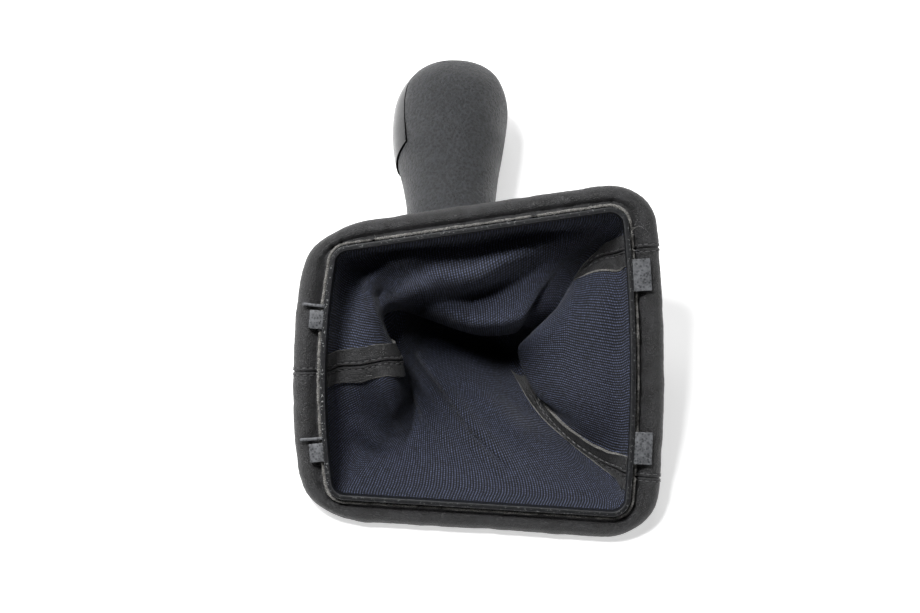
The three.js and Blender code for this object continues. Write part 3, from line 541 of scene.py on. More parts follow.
def neck_point(distance, along_lever):
    """A point of the sleeve round the knob's neck, its angle the share of the mouth walked."""
    turn = 2 * math.pi * (distance - REAR_SEAM) / PERIMETER
    point = np.stack([KNOB_OFFSET - SLEEVE_RADIUS * np.cos(turn), along_lever + 0 * turn,
                      KNOB_DEPTH / 2 + SLEEVE_RADIUS * np.sin(turn)], -1)
    return unleant(point - [0, 0, FRAME_ORIGIN[2]])


def column_knots(distance):
    """All knots of the bag's columns at distances round the mouth: wrap, folds, then the neck."""
    wrap = wrap_path(distance)
    points, outward = outline(distance)
    wrap = np.concatenate([points[..., None, :] + outward[..., None, :] * wrap[..., :1], wrap[..., 1:]], -1)
    around = fold_knots[0] + np.mod(distance - fold_knots[0], PERIMETER)
    folds = cubic(lap_knots, lap_values, around.ravel()).reshape(distance.shape + fold_values.shape[1:])
    end = KNOB_TO_MOUTH - CLEARANCE
    neck = np.stack([neck_point(distance, end - NECK_RING_LENGTH), neck_point(distance, end)], -2)
    return np.concatenate([wrap, folds, neck], -2)


def bag_surface(distance, place):
    """Middle of the leather: down each column a cubic through its knots, spaced by the root of
    their distances apart, at a place counted in knots. Distances are a grid with one row for each
    place."""
    knots = column_knots(distance)
    steps = np.sqrt(np.linalg.norm(np.diff(knots, axis=-2), axis=-1))
    lengths = np.concatenate([np.zeros(distance.shape + (1,)), np.cumsum(steps, -1)], -1)
    k = np.minimum(place.astype(int), COLUMN_KNOTS - 2)[:, None, None]
    k = np.broadcast_to(k, distance.shape + (1,))
    start = np.take_along_axis(lengths, k, -1)
    end = np.take_along_axis(lengths, k + 1, -1)
    return cubic(lengths, knots, start + (place[:, None, None] - k) * (end - start))[..., 0, :]


def laid_on_table(points, place, softness):
    """What would sink below the table is lifted softly on to it: its height over the table is kept
    above the softness, and eased to nothing by a parabola below it."""
    over = points @ on_table + FRAME_ORIGIN[2] - LEATHER / 2 - CLEARANCE
    lifted = np.where(over > softness, over, np.maximum(over + softness, 0) ** 2 / (4 * softness))
    in_bag = (place > WRAP_KNOTS - 1)[:, None]
    return points + np.where(in_bag, lifted - over, 0)[..., None] * on_table


# Offsets of the sheet's columns from a seam, in millimetres: close together where the seam's ridge,
# groove and stitching are, up to the cut edge of the allowance. The next column stands just past it.
NEAR_SEAM = np.array([0, 0.15, 0.3, 0.45, 0.65, 0.9, 1.15, 1.3, 1.4, 1.5, 1.65, 1.9, 2.3, 2.9, 3.6, 4.4, 5.2,
                      5.9, 6.35, SEAM_ALLOWANCE])
PAST_EDGE = 0.12
# The sheet's rows, as places counted in knots: even round the wrap, and denser where the folds turn.
rows_wrap = np.arange(0, WRAP_KNOTS - 1, 1 / 4)
rows_bag = np.concatenate([WRAP_KNOTS - 1 + k + np.arange(steps) / steps
                           for k, steps in enumerate([14, 16, 16, 16, 20, 34, 12])])
rows = np.concatenate([rows_wrap, rows_bag, [COLUMN_KNOTS - 1]])


def seam_scale(seam):
    """How much distance round the mouth makes a millimetre across the sheet, row by row."""
    nudge = 0.5
    pair = bag_surface(np.broadcast_to([seam - nudge, seam + nudge], (len(rows), 2)), rows)
    scale = 2 * nudge / np.linalg.norm(pair[:, 1] - pair[:, 0], axis=-1)
    blend = np.clip(rows - WRAP_KNOTS + 1, 0, 1)
    return 1 + (scale - 1) * blend * blend * (3 - 2 * blend)


# Creases that the photo shows, as lines in the mouth's plane: the panel, points in millimetres from
# the low side's middle, the width and the rise towards the eye.
CREASES = [
    ("right_side", [(-39, 64), (-43, 69), (-47, 75), (-50, 81), (-50, 86), (-47, 91), (-42, 95),
                    (-34, 98)], 2.2, 2.4),
    ("right_side", [(-42, 67), (-44, 71), (-46.5, 76), (-47, 80), (-45, 84)], 1.4, -2.6),
    ("right_side", [(-46, 75), (-38, 79), (-30, 86), (-22, 89), (-13.5, 89), (-5.5, 91), (2.5, 96), (11, 100),
                    (19, 104)], 5.0, 6.5),
    ("right_side", [(-41, 69), (-35, 75), (-28, 79), (-18, 80.5), (-9, 81.5), (-1, 86), (5, 91), (11, 95),
                    (19, 99), (27, 105)], 3.4, -4.2),
    ("right_side", [(-18, 72), (-9, 71), (-1, 71.5), (6, 72.5), (13, 75), (22, 81)], 5.0, 8.0),
    ("right_side", [(-44, 73), (-36, 77), (-27, 78), (-17, 77), (-8, 76)], 8.0, 7.5),
    ("left_side", [(-36, 61), (-24, 48), (-13, 35), (-6, 27), (5, 17), (12, 11)], 5.5, 6.0),
    ("left_side", [(-36, 61), (-24, 48), (-13, 35), (-6, 27), (5, 17), (12, 11)], 1.5, -5.2),
    ("left_side", [(-42, 54), (-30, 40), (-20, 28), (-12, 18), (-4, 10)], 2.6, 3.0),
    ("left_side", [(-22, 57), (-8, 46), (6, 34), (19, 24)], 5.5, 4.0),
    ("left_side", [(-43, 50), (-39, 40), (-36, 31), (-37, 22)], 4.5, 5.5),
    ("left_side", [(-37, 50), (-32, 41), (-29, 33), (-29, 26), (-32, 19)], 1.8, -4.5),
    ("left_side", [(-55, 30), (-47, 22), (-38, 18)], 4.0, 3.0),
]


SEAMS = np.array([REAR_SEAM, SEAM_HIGH, SEAM_LOW, REAR_SEAM + PERIMETER])
CREASES_FADE_OVER = 7


def near_line(points, line):
    """How far points lie from a broken line, and the share of its length at the nearest place."""
    line = np.array(line, float)
    nearest = np.full(points.shape[:-1], np.inf)
    along_line = np.zeros(points.shape[:-1])
    steps = np.diff(line, axis=0)
    lengths = np.linalg.norm(steps, axis=-1)
    starts = np.concatenate([[0], np.cumsum(lengths)])
    for start, step, length, begun in zip(line, steps, lengths, starts):
        off = points - start
        share = np.clip(off @ step / length ** 2, 0, 1)
        away = np.linalg.norm(off - share[..., None] * step, axis=-1)
        along_line = np.where(away < nearest, (begun + share * length) / starts[-1], along_line)
        nearest = np.minimum(nearest, away)
    return nearest, along_line


def creased(panel, points, distance, place):
    """The sheet with its creases: each lifts or sinks it along the eye's line by a bell curve of the
    distance to its line, faded by the root of a sine along the line. All of them fade at the frame,
    towards the neck, and at the seams."""
    lifted = np.zeros(points.shape[:2])
    for owner, line, width, rise in CREASES:
        if owner == panel:
            nearest, along_line = near_line(points[..., :2], line)
            faded = np.sin(math.pi * np.clip(along_line, 0.02, 0.98)) ** 0.5
            lifted += rise * np.exp(-(nearest / width) ** 2) * faded
    lifted *= np.clip(2 * (place - WRAP_KNOTS + 1), 0, 1)[:, None]
    lifted *= np.clip(2 * (COLUMN_KNOTS - 2.5 - place), 0, 1)[:, None]
    to_seam = np.clip(np.abs(distance[..., None] - SEAMS).min(-1) / CREASES_FADE_OVER, 0, 1)
    lifted *= to_seam ** 2 * (3 - 2 * to_seam)
    return points + lifted[..., None] * [0, 0, 1]


def sheet(name, distance, place):
    """Middle of a panel's leather at a grid of distances, one row for each place down it, and the
    direction out of its black side: the cross product of a short step round the mouth and one down.
    The folds are laid on the table before and, more tightly, after they are creased."""
    def crossed(at):
        folds = laid_on_table(bag_surface(at, place), place, 5)
        return laid_on_table(creased(name, folds, at, place), place, 1.5)

    step = 2 * np.clip((place - WRAP_KNOTS + 1) * 3, 0.1, 1)[:, None]
    middle = crossed(distance)
    normal = np.cross(crossed(distance + step) - crossed(distance - step), np.gradient(middle, axis=0))
    return middle, normal / np.linalg.norm(normal, axis=-1, keepdims=True)


def crowded(start, end, count):
    """Shares of a stretch of the outline, spaced four times as close on the round corners, where a
    short piece of the mouth's edge carries a long piece of the roll."""
    fine = np.linspace(start, end, 4000)
    index, share = stretch_at(fine)
    weight = 1 + 3 * np.where(index % 2 == 1, np.sin(math.pi * share) ** 0.5, 0)
    lengths = np.concatenate([[0], np.cumsum((weight[1:] + weight[:-1]) / 2)])
    return (np.interp(np.linspace(0, lengths[-1], count), lengths, fine) - start) / (end - start)


def bell(offset, half_width):
    """A bell curve of height 1 about zero."""
    return np.exp(-(offset / half_width) ** 2)


def seam_relief(from_seam, groove, stitched, ridge):
    """Rise beside a seam, in millimetres: the groove at it, the ridge on its shoulder and the dent
    under the stitches, each a bell curve of its depth or height."""
    return (-groove * bell(from_seam, 0.35) - stitched * bell(from_seam - STITCH_FROM_SEAM, 0.25)
            + ridge * bell(from_seam - 0.8, 0.4))


# Where the leather is pulled round the bead it wrinkles: each wrinkle lies across the roll at a place
# on the outline, with its half width along the mouth and its depth. The corners hold the sharp ones.
PLEATS = [(walked(1.15), 0.3, 0.9), (walked(1.5), 0.35, 1.4), (walked(1.85), 0.3, 1.0),
          (walked(3.15), 0.3, 0.8), (walked(3.5), 0.35, 1.3), (walked(3.9), 0.35, 0.9),
          (walked(5.2), 0.3, 1.1), (walked(5.6), 0.35, 1.2), (walked(7.1), 0.3, 0.9),
          (walked(7.5), 0.35, 1.4), (walked(7.9), 0.35, 1.0)]


def wrinkles(distance):
    """Rise of the leather's face on the roll, in millimetres: bell-shaped valleys at the pleats and
    an uneven ripple between them. The valleys are deepest beside the collar, the ripple over the
    bead, and both are gone behind the frame."""
    by_collar = bell(rows - 2.2, 1.5)[:, None]
    over_bead = bell(rows - WRAP_KNOTS / 2, 2.6)[:, None]
    valleys = sum(-depth * bell(distance % PERIMETER - place % PERIMETER, width)
                  for place, width, depth in PLEATS)
    wavy = 0.3 * ripple(distance + 0.35 * rows[:, None], [67, 37, 19, 11], 11)
    lined = 0.07 * ripple(distance - 0.8 * rows[:, None], [7.7, 4.3, 2.6], 12)
    return by_collar * valleys + over_bead * (wavy + lined)


STRIP_ENDS = WRAP_KNOTS + fold_values.shape[1] - 0.9
HIGH_STRIP_ENDS, HIGH_STRIP_NARROWS = WRAP_KNOTS + 2.1, 1.7


def strip_end(seam):
    """Where a seam's laid open allowances end, counted in knots: that of the high front seam dips
    under the fold above it, so it narrows to a point there."""
    return HIGH_STRIP_ENDS if seam == SEAM_HIGH else STRIP_ENDS


def strip_width(seam, places):
    """Width of the allowances that show inside, as a share of their cut width: a power of the way
    left to their end on the high front seam, and all of it on the others."""
    if seam != SEAM_HIGH:
        return np.ones(len(places))
    return np.clip((HIGH_STRIP_ENDS - places) / HIGH_STRIP_NARROWS, 0.03, 1) ** 0.6


# Shading painted on the lining, as bells on the mouth's plane: the middle of each in millimetres from the low
# side's middle, its half widths, and the share of the colour it takes away, or gives where it is negative.
# Painted shade darkens the throat and the pockets, and painted light makes the crests of the folds pale.
PAINTED_SHADING_BELLS = [(-15, 62, 26, 8, 0.85), (8, 58, 12, 8, 0.6), (-28, 40, 14, 12, 0.5), (-48, 30, 12, 14, 0.35),
          (-28, 76, 9, 6, 0.7), (-14, 80, 10, 6, 0.5), (-2, 84, 8, 4, 0.3), (-56, 92, 10, 7, 0.5),
          (45, 30, 16, 14, 0.25), (-10, 94, 25, 5, -0.5), (-30, 87, 8, 4, -0.4), (-56, 70, 8, 14, -0.35),
          (6, 74, 14, 4, -0.2), (0, 12, 40, 9, -0.1)]


def painted_shading(points):
    """How much colour the painted shading takes from the lining at points in the mouth's plane: the sum of
    the bells. A negative sum is painted light.
    """
    return sum(loss * bell(points[..., 0] - x, wide) * bell(points[..., 1] - y, high)
               for x, y, wide, high, loss in PAINTED_SHADING_BELLS)


# How far the ribs of the weave run together as the panel narrows: 0 keeps their number and 1 their
# distance.
WEAVE_TAPER = 0.35


def add_cut_pattern(piece, middle, centre, faces):
    """A flat pattern for the cloth, in metres: across, the length walked along a row from the middle
    column, mixed with the same at the mouth, and down, the length walked along the middle column."""
    across = np.linalg.norm(np.diff(middle, axis=1), axis=-1)
    across = np.concatenate([np.zeros((len(middle), 1)), np.cumsum(across, 1)], 1)
    across -= across[:, centre:centre + 1]
    mouth = across[len(rows_wrap)]
    across = across * WEAVE_TAPER + mouth * (1 - WEAVE_TAPER)
    down = np.concatenate([[0], np.cumsum(np.linalg.norm(np.diff(middle[:, centre], axis=0), axis=-1))])
    flat = np.stack([across, down[:, None] + 0 * across], -1).reshape(-1, 2) * MM
    flat = np.concatenate([flat, flat])
    layer = piece.data.uv_layers.new(name="cut")
    layer.data.foreach_set("uv", flat[faces.ravel()].ravel())


def sheet_columns(seam_from, seam_to, near_from, near_to, columns):
    """Distances round the mouth for every row and column of a panel, and each one's way to its seam:
    the columns near each seam keep their millimetres, and the others share what is left."""
    band_from, band_to = (np.minimum(seam_scale(seam), (seam_to - seam_from) / 4 / SEAM_ALLOWANCE)[:, None]
                          for seam in (seam_from, seam_to))
    first = seam_from + (near_from[:, -1:] + PAST_EDGE) * band_from
    last = seam_to - (near_to[:, -1:] + PAST_EDGE) * band_to
    between = first + crowded(seam_from, seam_to, columns) * (last - first)
    distance = np.concatenate([seam_from + near_from * band_from, between,
                               (seam_to - near_to * band_to)[:, ::-1]], 1)
    far = np.full((len(rows), columns), 1e3)
    return distance, np.concatenate([near_from, far, near_to[:, ::-1]], 1)


def two_sided_faces(count, down):
    """Faces of two grids back to back, outer side first, then the inner side and the four rims."""
    faces = grid_faces(down, count)
    shift = down * count
    i, j = np.arange(count - 1), np.arange(down - 1) * count
    bottom, right = (down - 1) * count, count - 1
    rims = [np.stack([i + 1, i, shift + i, shift + i + 1], -1),
            np.stack([bottom + i, bottom + i + 1, shift + bottom + i + 1, shift + bottom + i], -1),
            np.stack([j, j + count, shift + j + count, shift + j], -1),
            np.stack([right + j + count, right + j, shift + right + j, shift + right + j + count], -1)]
    return faces, faces[:, ::-1] + shift, np.concatenate(rims)


LEATHER_SIDE, LINING_SIDE, CUT_SIDE = range(3)


def panel(name, seam_from, seam_to, columns, flat, area):
    """One panel: two grids of points half a thickness either side of the bag's middle surface,
    joined round their edges. Inside, each seam allowance lies doubled on the lining, and outside,
    the leather dips at the seam and its stitches."""
    ragged = 1 + 0.35 * ripple(rows * 6, [31, 13, 5.3], len(name))[:, None] * (NEAR_SEAM > 5) / SEAM_ALLOWANCE
    near = NEAR_SEAM * ragged
    distance, from_seam = sheet_columns(seam_from, seam_to, near, near, columns)
    middle, normal = sheet(name, distance, rows)
    outer_rise = seam_relief(from_seam, 0.45, 0.25, 0.25)
    outer = middle + normal * (LEATHER / 2 + outer_rise + wrinkles(distance))[..., None]

    near_from, near_to = (near * strip_width(seam, rows)[:, None] for seam in (seam_from, seam_to))
    distance, from_seam = sheet_columns(seam_from, seam_to, near_from, near_to, columns)
    middle, normal = sheet(name, distance, rows)
    count = distance.shape[1]
    ends = np.where(np.arange(count) < count / 2, strip_end(seam_from), strip_end(seam_to))
    begun = np.clip((rows - WRAP_KNOTS + 0.9) * 4, 0, 1)[:, None]
    doubled = np.clip(ends - rows[:, None], 0, 1) * begun * (from_seam <= near.max())
    strip = LEATHER * 0.85 + seam_relief(from_seam, LEATHER * 0.6, 0.4, 0.5)
    strip += 0.25 * np.clip((from_seam - 5) / 1.5, 0, 1) * (1 + ripple(rows * 6, [17, 7], 5)[:, None])
    inner = middle - normal * (LEATHER / 2 + strip * doubled)[..., None]

    outside, inside, rims = two_sided_faces(count, len(rows))
    faces = np.concatenate([outside, inside, rims])
    cells, reach = np.arange(count - 1), len(NEAR_SEAM)
    on_strip = rows[:-1, None] < ends[:-1]
    in_band = (cells < reach - 1) | (cells >= columns + reach)
    at_edge = (cells == reach - 1) | (cells == columns + reach - 1)
    finishes = np.where(in_band & on_strip, LEATHER_SIDE, LINING_SIDE)
    finishes = np.where(at_edge & on_strip & (rows[:-1, None] > WRAP_KNOTS - 1), CUT_SIDE, finishes).ravel()
    finishes = np.concatenate([np.full(len(outside), LEATHER_SIDE), finishes, np.full(len(rims), CUT_SIDE)])

    piece = mesh_object("leather_" + name, placed(np.stack([outer, inner])), faces)
    piece.data.polygons.foreach_set("material_index", finishes.astype(np.int32))
    add_cut_pattern(piece, middle, columns // 2 + reach, faces)
    # Painted shading of the lining, kept on the points: painted shade in the throat and pockets, painted
    # light on the crests.
    attribute = piece.data.attributes.new("painted_shading", "FLOAT", "POINT")
    attribute.data.foreach_set("value", painted_shading(np.stack([outer, inner])).ravel())
    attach(piece, "root")
    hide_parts(f"gaiter_{name}_panel")
    return piece


panels = [
    panel("right_side", REAR_SEAM, SEAM_HIGH, 210, (0.19, 0.16), 0.016),
    panel("front", SEAM_HIGH, SEAM_LOW, 120, (0.11, 0.16), 0.01),
    panel("left_side", SEAM_LOW, REAR_SEAM + PERIMETER, 210, (0.19, 0.16), 0.016),
]

# Full-grain leather, pigmented black and pressed with a fine grain of 0.8 mm: satin, and paler in
# patches where it was rubbed.
leather_black, tree, shader = finish_of("pigmented black leather")
place = node(tree, "TexCoord", {}, "Object")
pores = node(tree, "TexVoronoi", {"Vector": place, "Scale": 1 / (0.8 * MM)}, "Distance",
             feature="DISTANCE_TO_EDGE")
fine = node(tree, "TexNoise", {"Vector": place, "Scale": 1 / (0.35 * MM), "Detail": 3.0})
cloudy = node(tree, "TexNoise", {"Vector": place, "Scale": 1 / (6 * MM), "Detail": 5.0, "Roughness": 0.65})
rubbed = node(tree, "MapRange", {0: cloudy, 1: 0.42, 2: 0.7, 3: 0.0, 4: 1.0})
colour = node(tree, "Mix", {0: rubbed, 6: srgb("#1a1a1b"), 7: srgb("#333335")}, 2, data_type="RGBA")
dull = node(tree, "MapRange", {0: cloudy, 1: 0.3, 2: 0.7, 3: 0.42, 4: 0.58})
cells = node(tree, "MapRange", {0: pores, 1: 0.0, 2: 0.25, 3: 0.0, 4: 1.0})
height = node(tree, "Math", {0: cells, 1: fine}, operation="ADD")
height = node(tree, "Math", {0: height, 1: cloudy}, operation="ADD")
bump = node(tree, "Bump", {"Height": height, "Strength": 0.8, "Distance": 0.2 * MM})
feed(shader, {"IOR": 1.5, "Sheen Weight": 0.08, "Base Color": colour, "Roughness": dull, "Normal": bump})

# Woven nylon lining, piece-dyed navy: corded ribs run from the mouth to the neck, and the weft crosses them,
# stepped by a third of a rib, which gives the twill's diagonal. The tops of the threads are painted bright,
# unevenly, as a painted highlight, and the gaps between them near black, as a painted shade. The painted
# shading of the bells darkens their colour and dulls their gloss in the throat and the pockets, and lightens
# them on the crests.
RIB_PITCH, WEFT_PITCH = 1.15, 0.95
lining, tree, shader = finish_of("navy nylon twill lining")
cut = node(tree, "UVMap", {}, uv_map="cut")
place = node(tree, "TexCoord", {}, "Object")
across = node(tree, "SeparateXYZ", {0: cut}, "X")
down = node(tree, "SeparateXYZ", {0: cut}, "Y")
across = node(tree, "Math", {0: across, 1: 2 * math.pi / (RIB_PITCH * MM)}, operation="MULTIPLY")
down = node(tree, "Math", {0: down, 1: 2 * math.pi / (WEFT_PITCH * MM)}, operation="MULTIPLY")
stepped = node(tree, "Math", {0: across, 1: 1 / 3, 2: down}, operation="MULTIPLY_ADD")
rib = node(tree, "Math", {0: across}, operation="SINE")
weft = node(tree, "Math", {0: stepped}, operation="SINE")
rib = node(tree, "MapRange", {0: rib, 1: -1.0, 2: 1.0, 3: 0.0, 4: 1.0})
weft = node(tree, "MapRange", {0: weft, 1: -1.0, 2: 1.0, 3: 0.45, 4: 1.0})
thread = node(tree, "Math", {0: rib, 1: weft}, operation="MULTIPLY")
tops = node(tree, "Math", {0: thread, 1: 2.0}, operation="POWER")
uneven = node(tree, "TexNoise", {"Vector": place, "Scale": 1 / (0.9 * MM), "Detail": 2.0})
painted_sparkle = node(tree, "MapRange", {0: uneven, 1: 0.3, 2: 0.7, 3: 0.35, 4: 1.3})
shade = node(tree, "Math", {0: tops, 1: painted_sparkle}, operation="MULTIPLY")
# Painted shading: the bells darken the lining and dull its gloss in the throat and the pockets, and lighten
# it on the crests.
painted_darkness = node(tree, "Attribute", {}, "Fac", attribute_name="painted_shading")
unshaded = node(tree, "Math", {0: 1.0, 1: painted_darkness}, operation="SUBTRACT")
unshaded = node(tree, "Math", {0: unshaded, 1: 0.04}, operation="MAXIMUM")
shade = node(tree, "Math", {0: shade, 1: unshaded}, operation="MULTIPLY")
colour = node(tree, "Mix", {0: shade, 6: srgb("#020305"), 7: srgb("#666f90")}, 2, data_type="RGBA")
gloss = node(tree, "Math", {0: unshaded, 1: 0.4}, operation="MULTIPLY")
fuzz = node(tree, "Math", {0: unshaded, 1: 0.1}, operation="MULTIPLY")
bump = node(tree, "Bump", {"Height": thread, "Strength": 1.0, "Distance": 0.3 * MM})
feed(shader, {"IOR": 1.5, "Roughness": 0.75, "Sheen Roughness": 0.5, "Base Color": colour,
              "Specular IOR Level": gloss, "Sheen Weight": fuzz, "Normal": bump})

# Cut edge of the leather: undyed fibres under the pigment, grey-brown and matt, and darkened by the same
# painted shade as the lining.
raw_edge, tree, shader = finish_of("cut leather edge")
place = node(tree, "TexCoord", {}, "Object")
fibres = node(tree, "TexNoise", {"Vector": place, "Scale": 1 / (0.5 * MM), "Detail": 5.0, "Roughness": 0.7})
shade = node(tree, "MapRange", {0: fibres, 1: 0.35, 2: 0.65, 3: 0.0, 4: 1.0})
# Painted shade from the same bells darkens the cut edge in the throat.
painted_darkness = node(tree, "Attribute", {}, "Fac", attribute_name="painted_shading")
unshaded = node(tree, "Math", {0: 1.0, 1: painted_darkness}, operation="SUBTRACT", use_clamp=True)
shade = node(tree, "Math", {0: shade, 1: unshaded}, operation="MULTIPLY")
colour = node(tree, "Mix", {0: shade, 6: srgb("#2c2c2c"), 7: srgb("#a3a19d")}, 2, data_type="RGBA")
bump = node(tree, "Bump", {"Height": fibres, "Strength": 1.0, "Distance": 0.3 * MM})
feed(shader, {"IOR": 1.45, "Roughness": 0.9, "Sheen Weight": 0.1, "Base Color": colour, "Normal": bump})

for piece in panels:
    for finish in (leather_black, lining, raw_edge):
        piece.data.materials.append(finish)


# Stitching: bonded polyester thread, black, in two rows 1.4 mm either side of each seam. It holds the
# seam's allowances down, and shows on both faces of the sheet as raised stitches 2.8 mm apart.
STITCH_PITCH, STITCH_LENGTH, THREAD_RADIUS = 2.8, 2.2, 0.26
STITCH_RINGS, STITCH_SIDES = 7, 6


def stitch_row(name, seam, side, outside, start, end):
    """One row of stitches: each is a tube of six sides whose radius is an ellipse along it, laid on
    the face along a line a fixed distance from the seam and cut at even lengths."""
    place = np.linspace(start, end, 700)
    offset = side * STITCH_FROM_SEAM * np.interp(place, rows, seam_scale(seam))
    middle, normal = (part[:, 0] for part in sheet(name, (seam + offset)[:, None], place))
    lift = LEATHER / 2 - 0.1 if outside else -LEATHER * 1.35 + 0.12
    line = middle + normal * lift
    walk = np.concatenate([[0], np.cumsum(np.linalg.norm(np.diff(line, axis=0), axis=-1))])
    count = int((walk[-1] - STITCH_LENGTH) / STITCH_PITCH)
    along = np.linspace(-1, 1, STITCH_RINGS)
    at = STITCH_PITCH * np.arange(count)[:, None] + STITCH_LENGTH / 2 * (1 + along)

    def read(field):
        return np.stack([np.interp(at, walk, field[:, axis]) for axis in range(3)], -1)

    out = read(normal) * (1 if outside else -1)
    forward = np.gradient(line, axis=0)
    forward = read(forward / np.linalg.norm(forward, axis=-1, keepdims=True))
    centre = read(line) + out * (0.25 * (1 - along[:, None] ** 2) - 0.05)
    aside, out = np.cross(forward, out)[:, :, None], out[:, :, None]
    radius = THREAD_RADIUS * np.sqrt(1.02 - along ** 2)[:, None, None]
    turn = np.linspace(0, 2 * math.pi, STITCH_SIDES, endpoint=False)[:, None]
    tube = centre[:, :, None] + radius * (np.cos(turn) * aside + np.sin(turn) * out)
    faces = grid_faces(STITCH_RINGS, STITCH_SIDES, wrap_columns=True)
    last = STITCH_SIDES * (STITCH_RINGS - 1)
    caps = np.array([[0, 5, 4, 3], [0, 3, 2, 1], [last, last + 1, last + 2, last + 3],
                     [last, last + 3, last + 4, last + 5]])
    each = np.concatenate([faces, caps])
    shifts = STITCH_SIDES * STITCH_RINGS * np.arange(count)[:, None, None]
    return placed(tube.reshape(-1, 3)), (each + shifts).reshape(-1, 4).tolist()


stitch_rows = []
for name, seam, side in (("right_side", REAR_SEAM, 1), ("left_side", REAR_SEAM + PERIMETER, -1),
                         ("right_side", SEAM_HIGH, -1), ("front", SEAM_HIGH, 1),
                         ("front", SEAM_LOW, -1), ("left_side", SEAM_LOW, 1)):
    stitch_rows.append(stitch_row(name, seam, side, True, 0.5, COLUMN_KNOTS - 2))
    stitch_rows.append(stitch_row(name, seam, side, False, WRAP_KNOTS - 0.5, strip_end(seam) - 0.3))
stitching = joined("seam_stitching", stitch_rows)
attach(stitching, "root")
# Bonded thread: black and satin from its coat, with the plies painted as paler bands 0.4 mm apart, a painted
# highlight. The bands of a wave texture lie about a third of its given size apart.
thread_black, tree, shader = finish_of("bonded black polyester thread")
place = node(tree, "TexCoord", {}, "Object")
ply_glints = node(tree, "TexWave", {"Vector": place, "Scale": 1 / (1.2 * MM), "Distortion": 1.0})
colour = node(tree, "Mix", {0: ply_glints, 6: srgb("#2a2a2b"), 7: srgb("#7a7a7c")}, 2, data_type="RGBA")
feed(shader, {"IOR": 1.55, "Roughness": 0.42, "Sheen Weight": 0.2, "Sheen Roughness": 0.4,
              "Base Color": colour})
stitching.data.materials.append(thread_black)


# Loose threads: cut ends of the lining's yarn and of the sewing thread, which stand out of the raw
# edge beside the collar, and one longer curl by the high front corner. They are held by the cloth.
YARN_RADIUS, YARN_RINGS, YARN_SIDES = 0.104, 9, 5
# Frayed stretches of the outline, with the number of threads on each.
FRAYED = [(walked(2.1), walked(2.95), 46), (walked(3.2), walked(4.1), 14), (walked(0.15), walked(0.9), 18)]


def loose_thread(start, out, away, length, curl):
    """A tube of five sides about a line that leaves its root and bends by an even curl, with the
    radius falling to a point."""
    along = np.linspace(0, 1, YARN_RINGS)
    angle = curl * along[:, None]
    heading = np.cos(angle) * out + np.sin(angle) * away
    across = np.cos(angle) * away - np.sin(angle) * out
    steps = heading[:-1] * length / (YARN_RINGS - 1)
    line = start + np.concatenate([[[0, 0, 0]], np.cumsum(steps, 0)])
    turn = np.linspace(0, 2 * math.pi, YARN_SIDES, endpoint=False)[:, None]
    radius = (YARN_RADIUS * (1.05 - along) ** 0.5)[:, None, None]
    tube = line[:, None] + radius * (np.cos(turn) * np.cross(out, away) + np.sin(turn) * across[:, None])
    points = np.concatenate([tube.reshape(-1, 3), line[[0, -1]]])
    root, tip = YARN_RINGS * YARN_SIDES, YARN_RINGS * YARN_SIDES + 1
    side = np.arange(YARN_SIDES)
    after = (side + 1) % YARN_SIDES
    last = YARN_SIDES * (YARN_RINGS - 1)
    faces = grid_faces(YARN_RINGS, YARN_SIDES, wrap_columns=True).tolist()
    faces += np.stack([after, side, root + 0 * side], -1).tolist()
    faces += np.stack([last + side, last + after, tip + 0 * side], -1).tolist()
    return placed(points), faces


rng = np.random.default_rng(8)
threads = []
for start, end, count in FRAYED:
    for place_round in rng.uniform(start, end, count):
        root, outward = (part[0] for part in outline(np.array([place_round])))
        outward = np.append(outward, 0)
        along_edge = np.array([-outward[1], outward[0], 0])
        root = np.append(root, RAW_EDGE_RISE) + outward * (COLLAR_WALL + 0.7)
        out = np.array([0, 0, 1]) * rng.uniform(0.4, 1) + outward * rng.uniform(-0.6, 0.5)
        out += along_edge * rng.uniform(-1, 1)
        out /= np.linalg.norm(out)
        away = np.cross(out, rng.normal(size=3))
        away /= np.linalg.norm(away)
        threads.append(loose_thread(root, out, away, rng.uniform(1.5, 3.6), rng.uniform(0.2, 2.2)))
curl_root, curl_out = (part[0] for part in outline(np.array([walked(4) + 4])))
curl_out = np.append(curl_out, 0)
curl_along = np.array([curl_out[1], -curl_out[0], 0])
threads.append(loose_thread(np.append(curl_root, COLLAR_RISE - 1) + curl_out * 2.6,
                            curl_along * -0.9 + curl_out * 0.3, curl_out, 9, 3.6))
loose_threads = joined("loose_threads", threads)
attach(loose_threads, "root")
# Nylon yarn: satin filaments, some still navy and some worn pale, changing every few millimetres.
yarn, tree, shader = finish_of("frayed nylon yarn")
place = node(tree, "TexCoord", {}, "Object")
dyed = node(tree, "TexNoise", {"Vector": place, "Scale": 1 / (5 * MM), "Detail": 1.0})
dyed = node(tree, "MapRange", {0: dyed, 1: 0.45, 2: 0.6, 3: 0.0, 4: 1.0})
colour = node(tree, "Mix", {0: dyed, 6: srgb("#2c3040"), 7: srgb("#a8a7a2")}, 2, data_type="RGBA")
feed(shader, {"IOR": 1.53, "Roughness": 0.5, "Sheen Weight": 0.3, "Base Color": colour})
loose_threads.data.materials.append(yarn)


# Knob grip: a 3 mm skin of grained soft PVC moulded over the core, split down the rear below the face
# cap, where the halves of the mould met. Its foot stands on the neck of the bag.
KNOB_SKIN, KNOB_ROUNDNESS, GRIP_SPLIT = 3, 2.2, 0.15
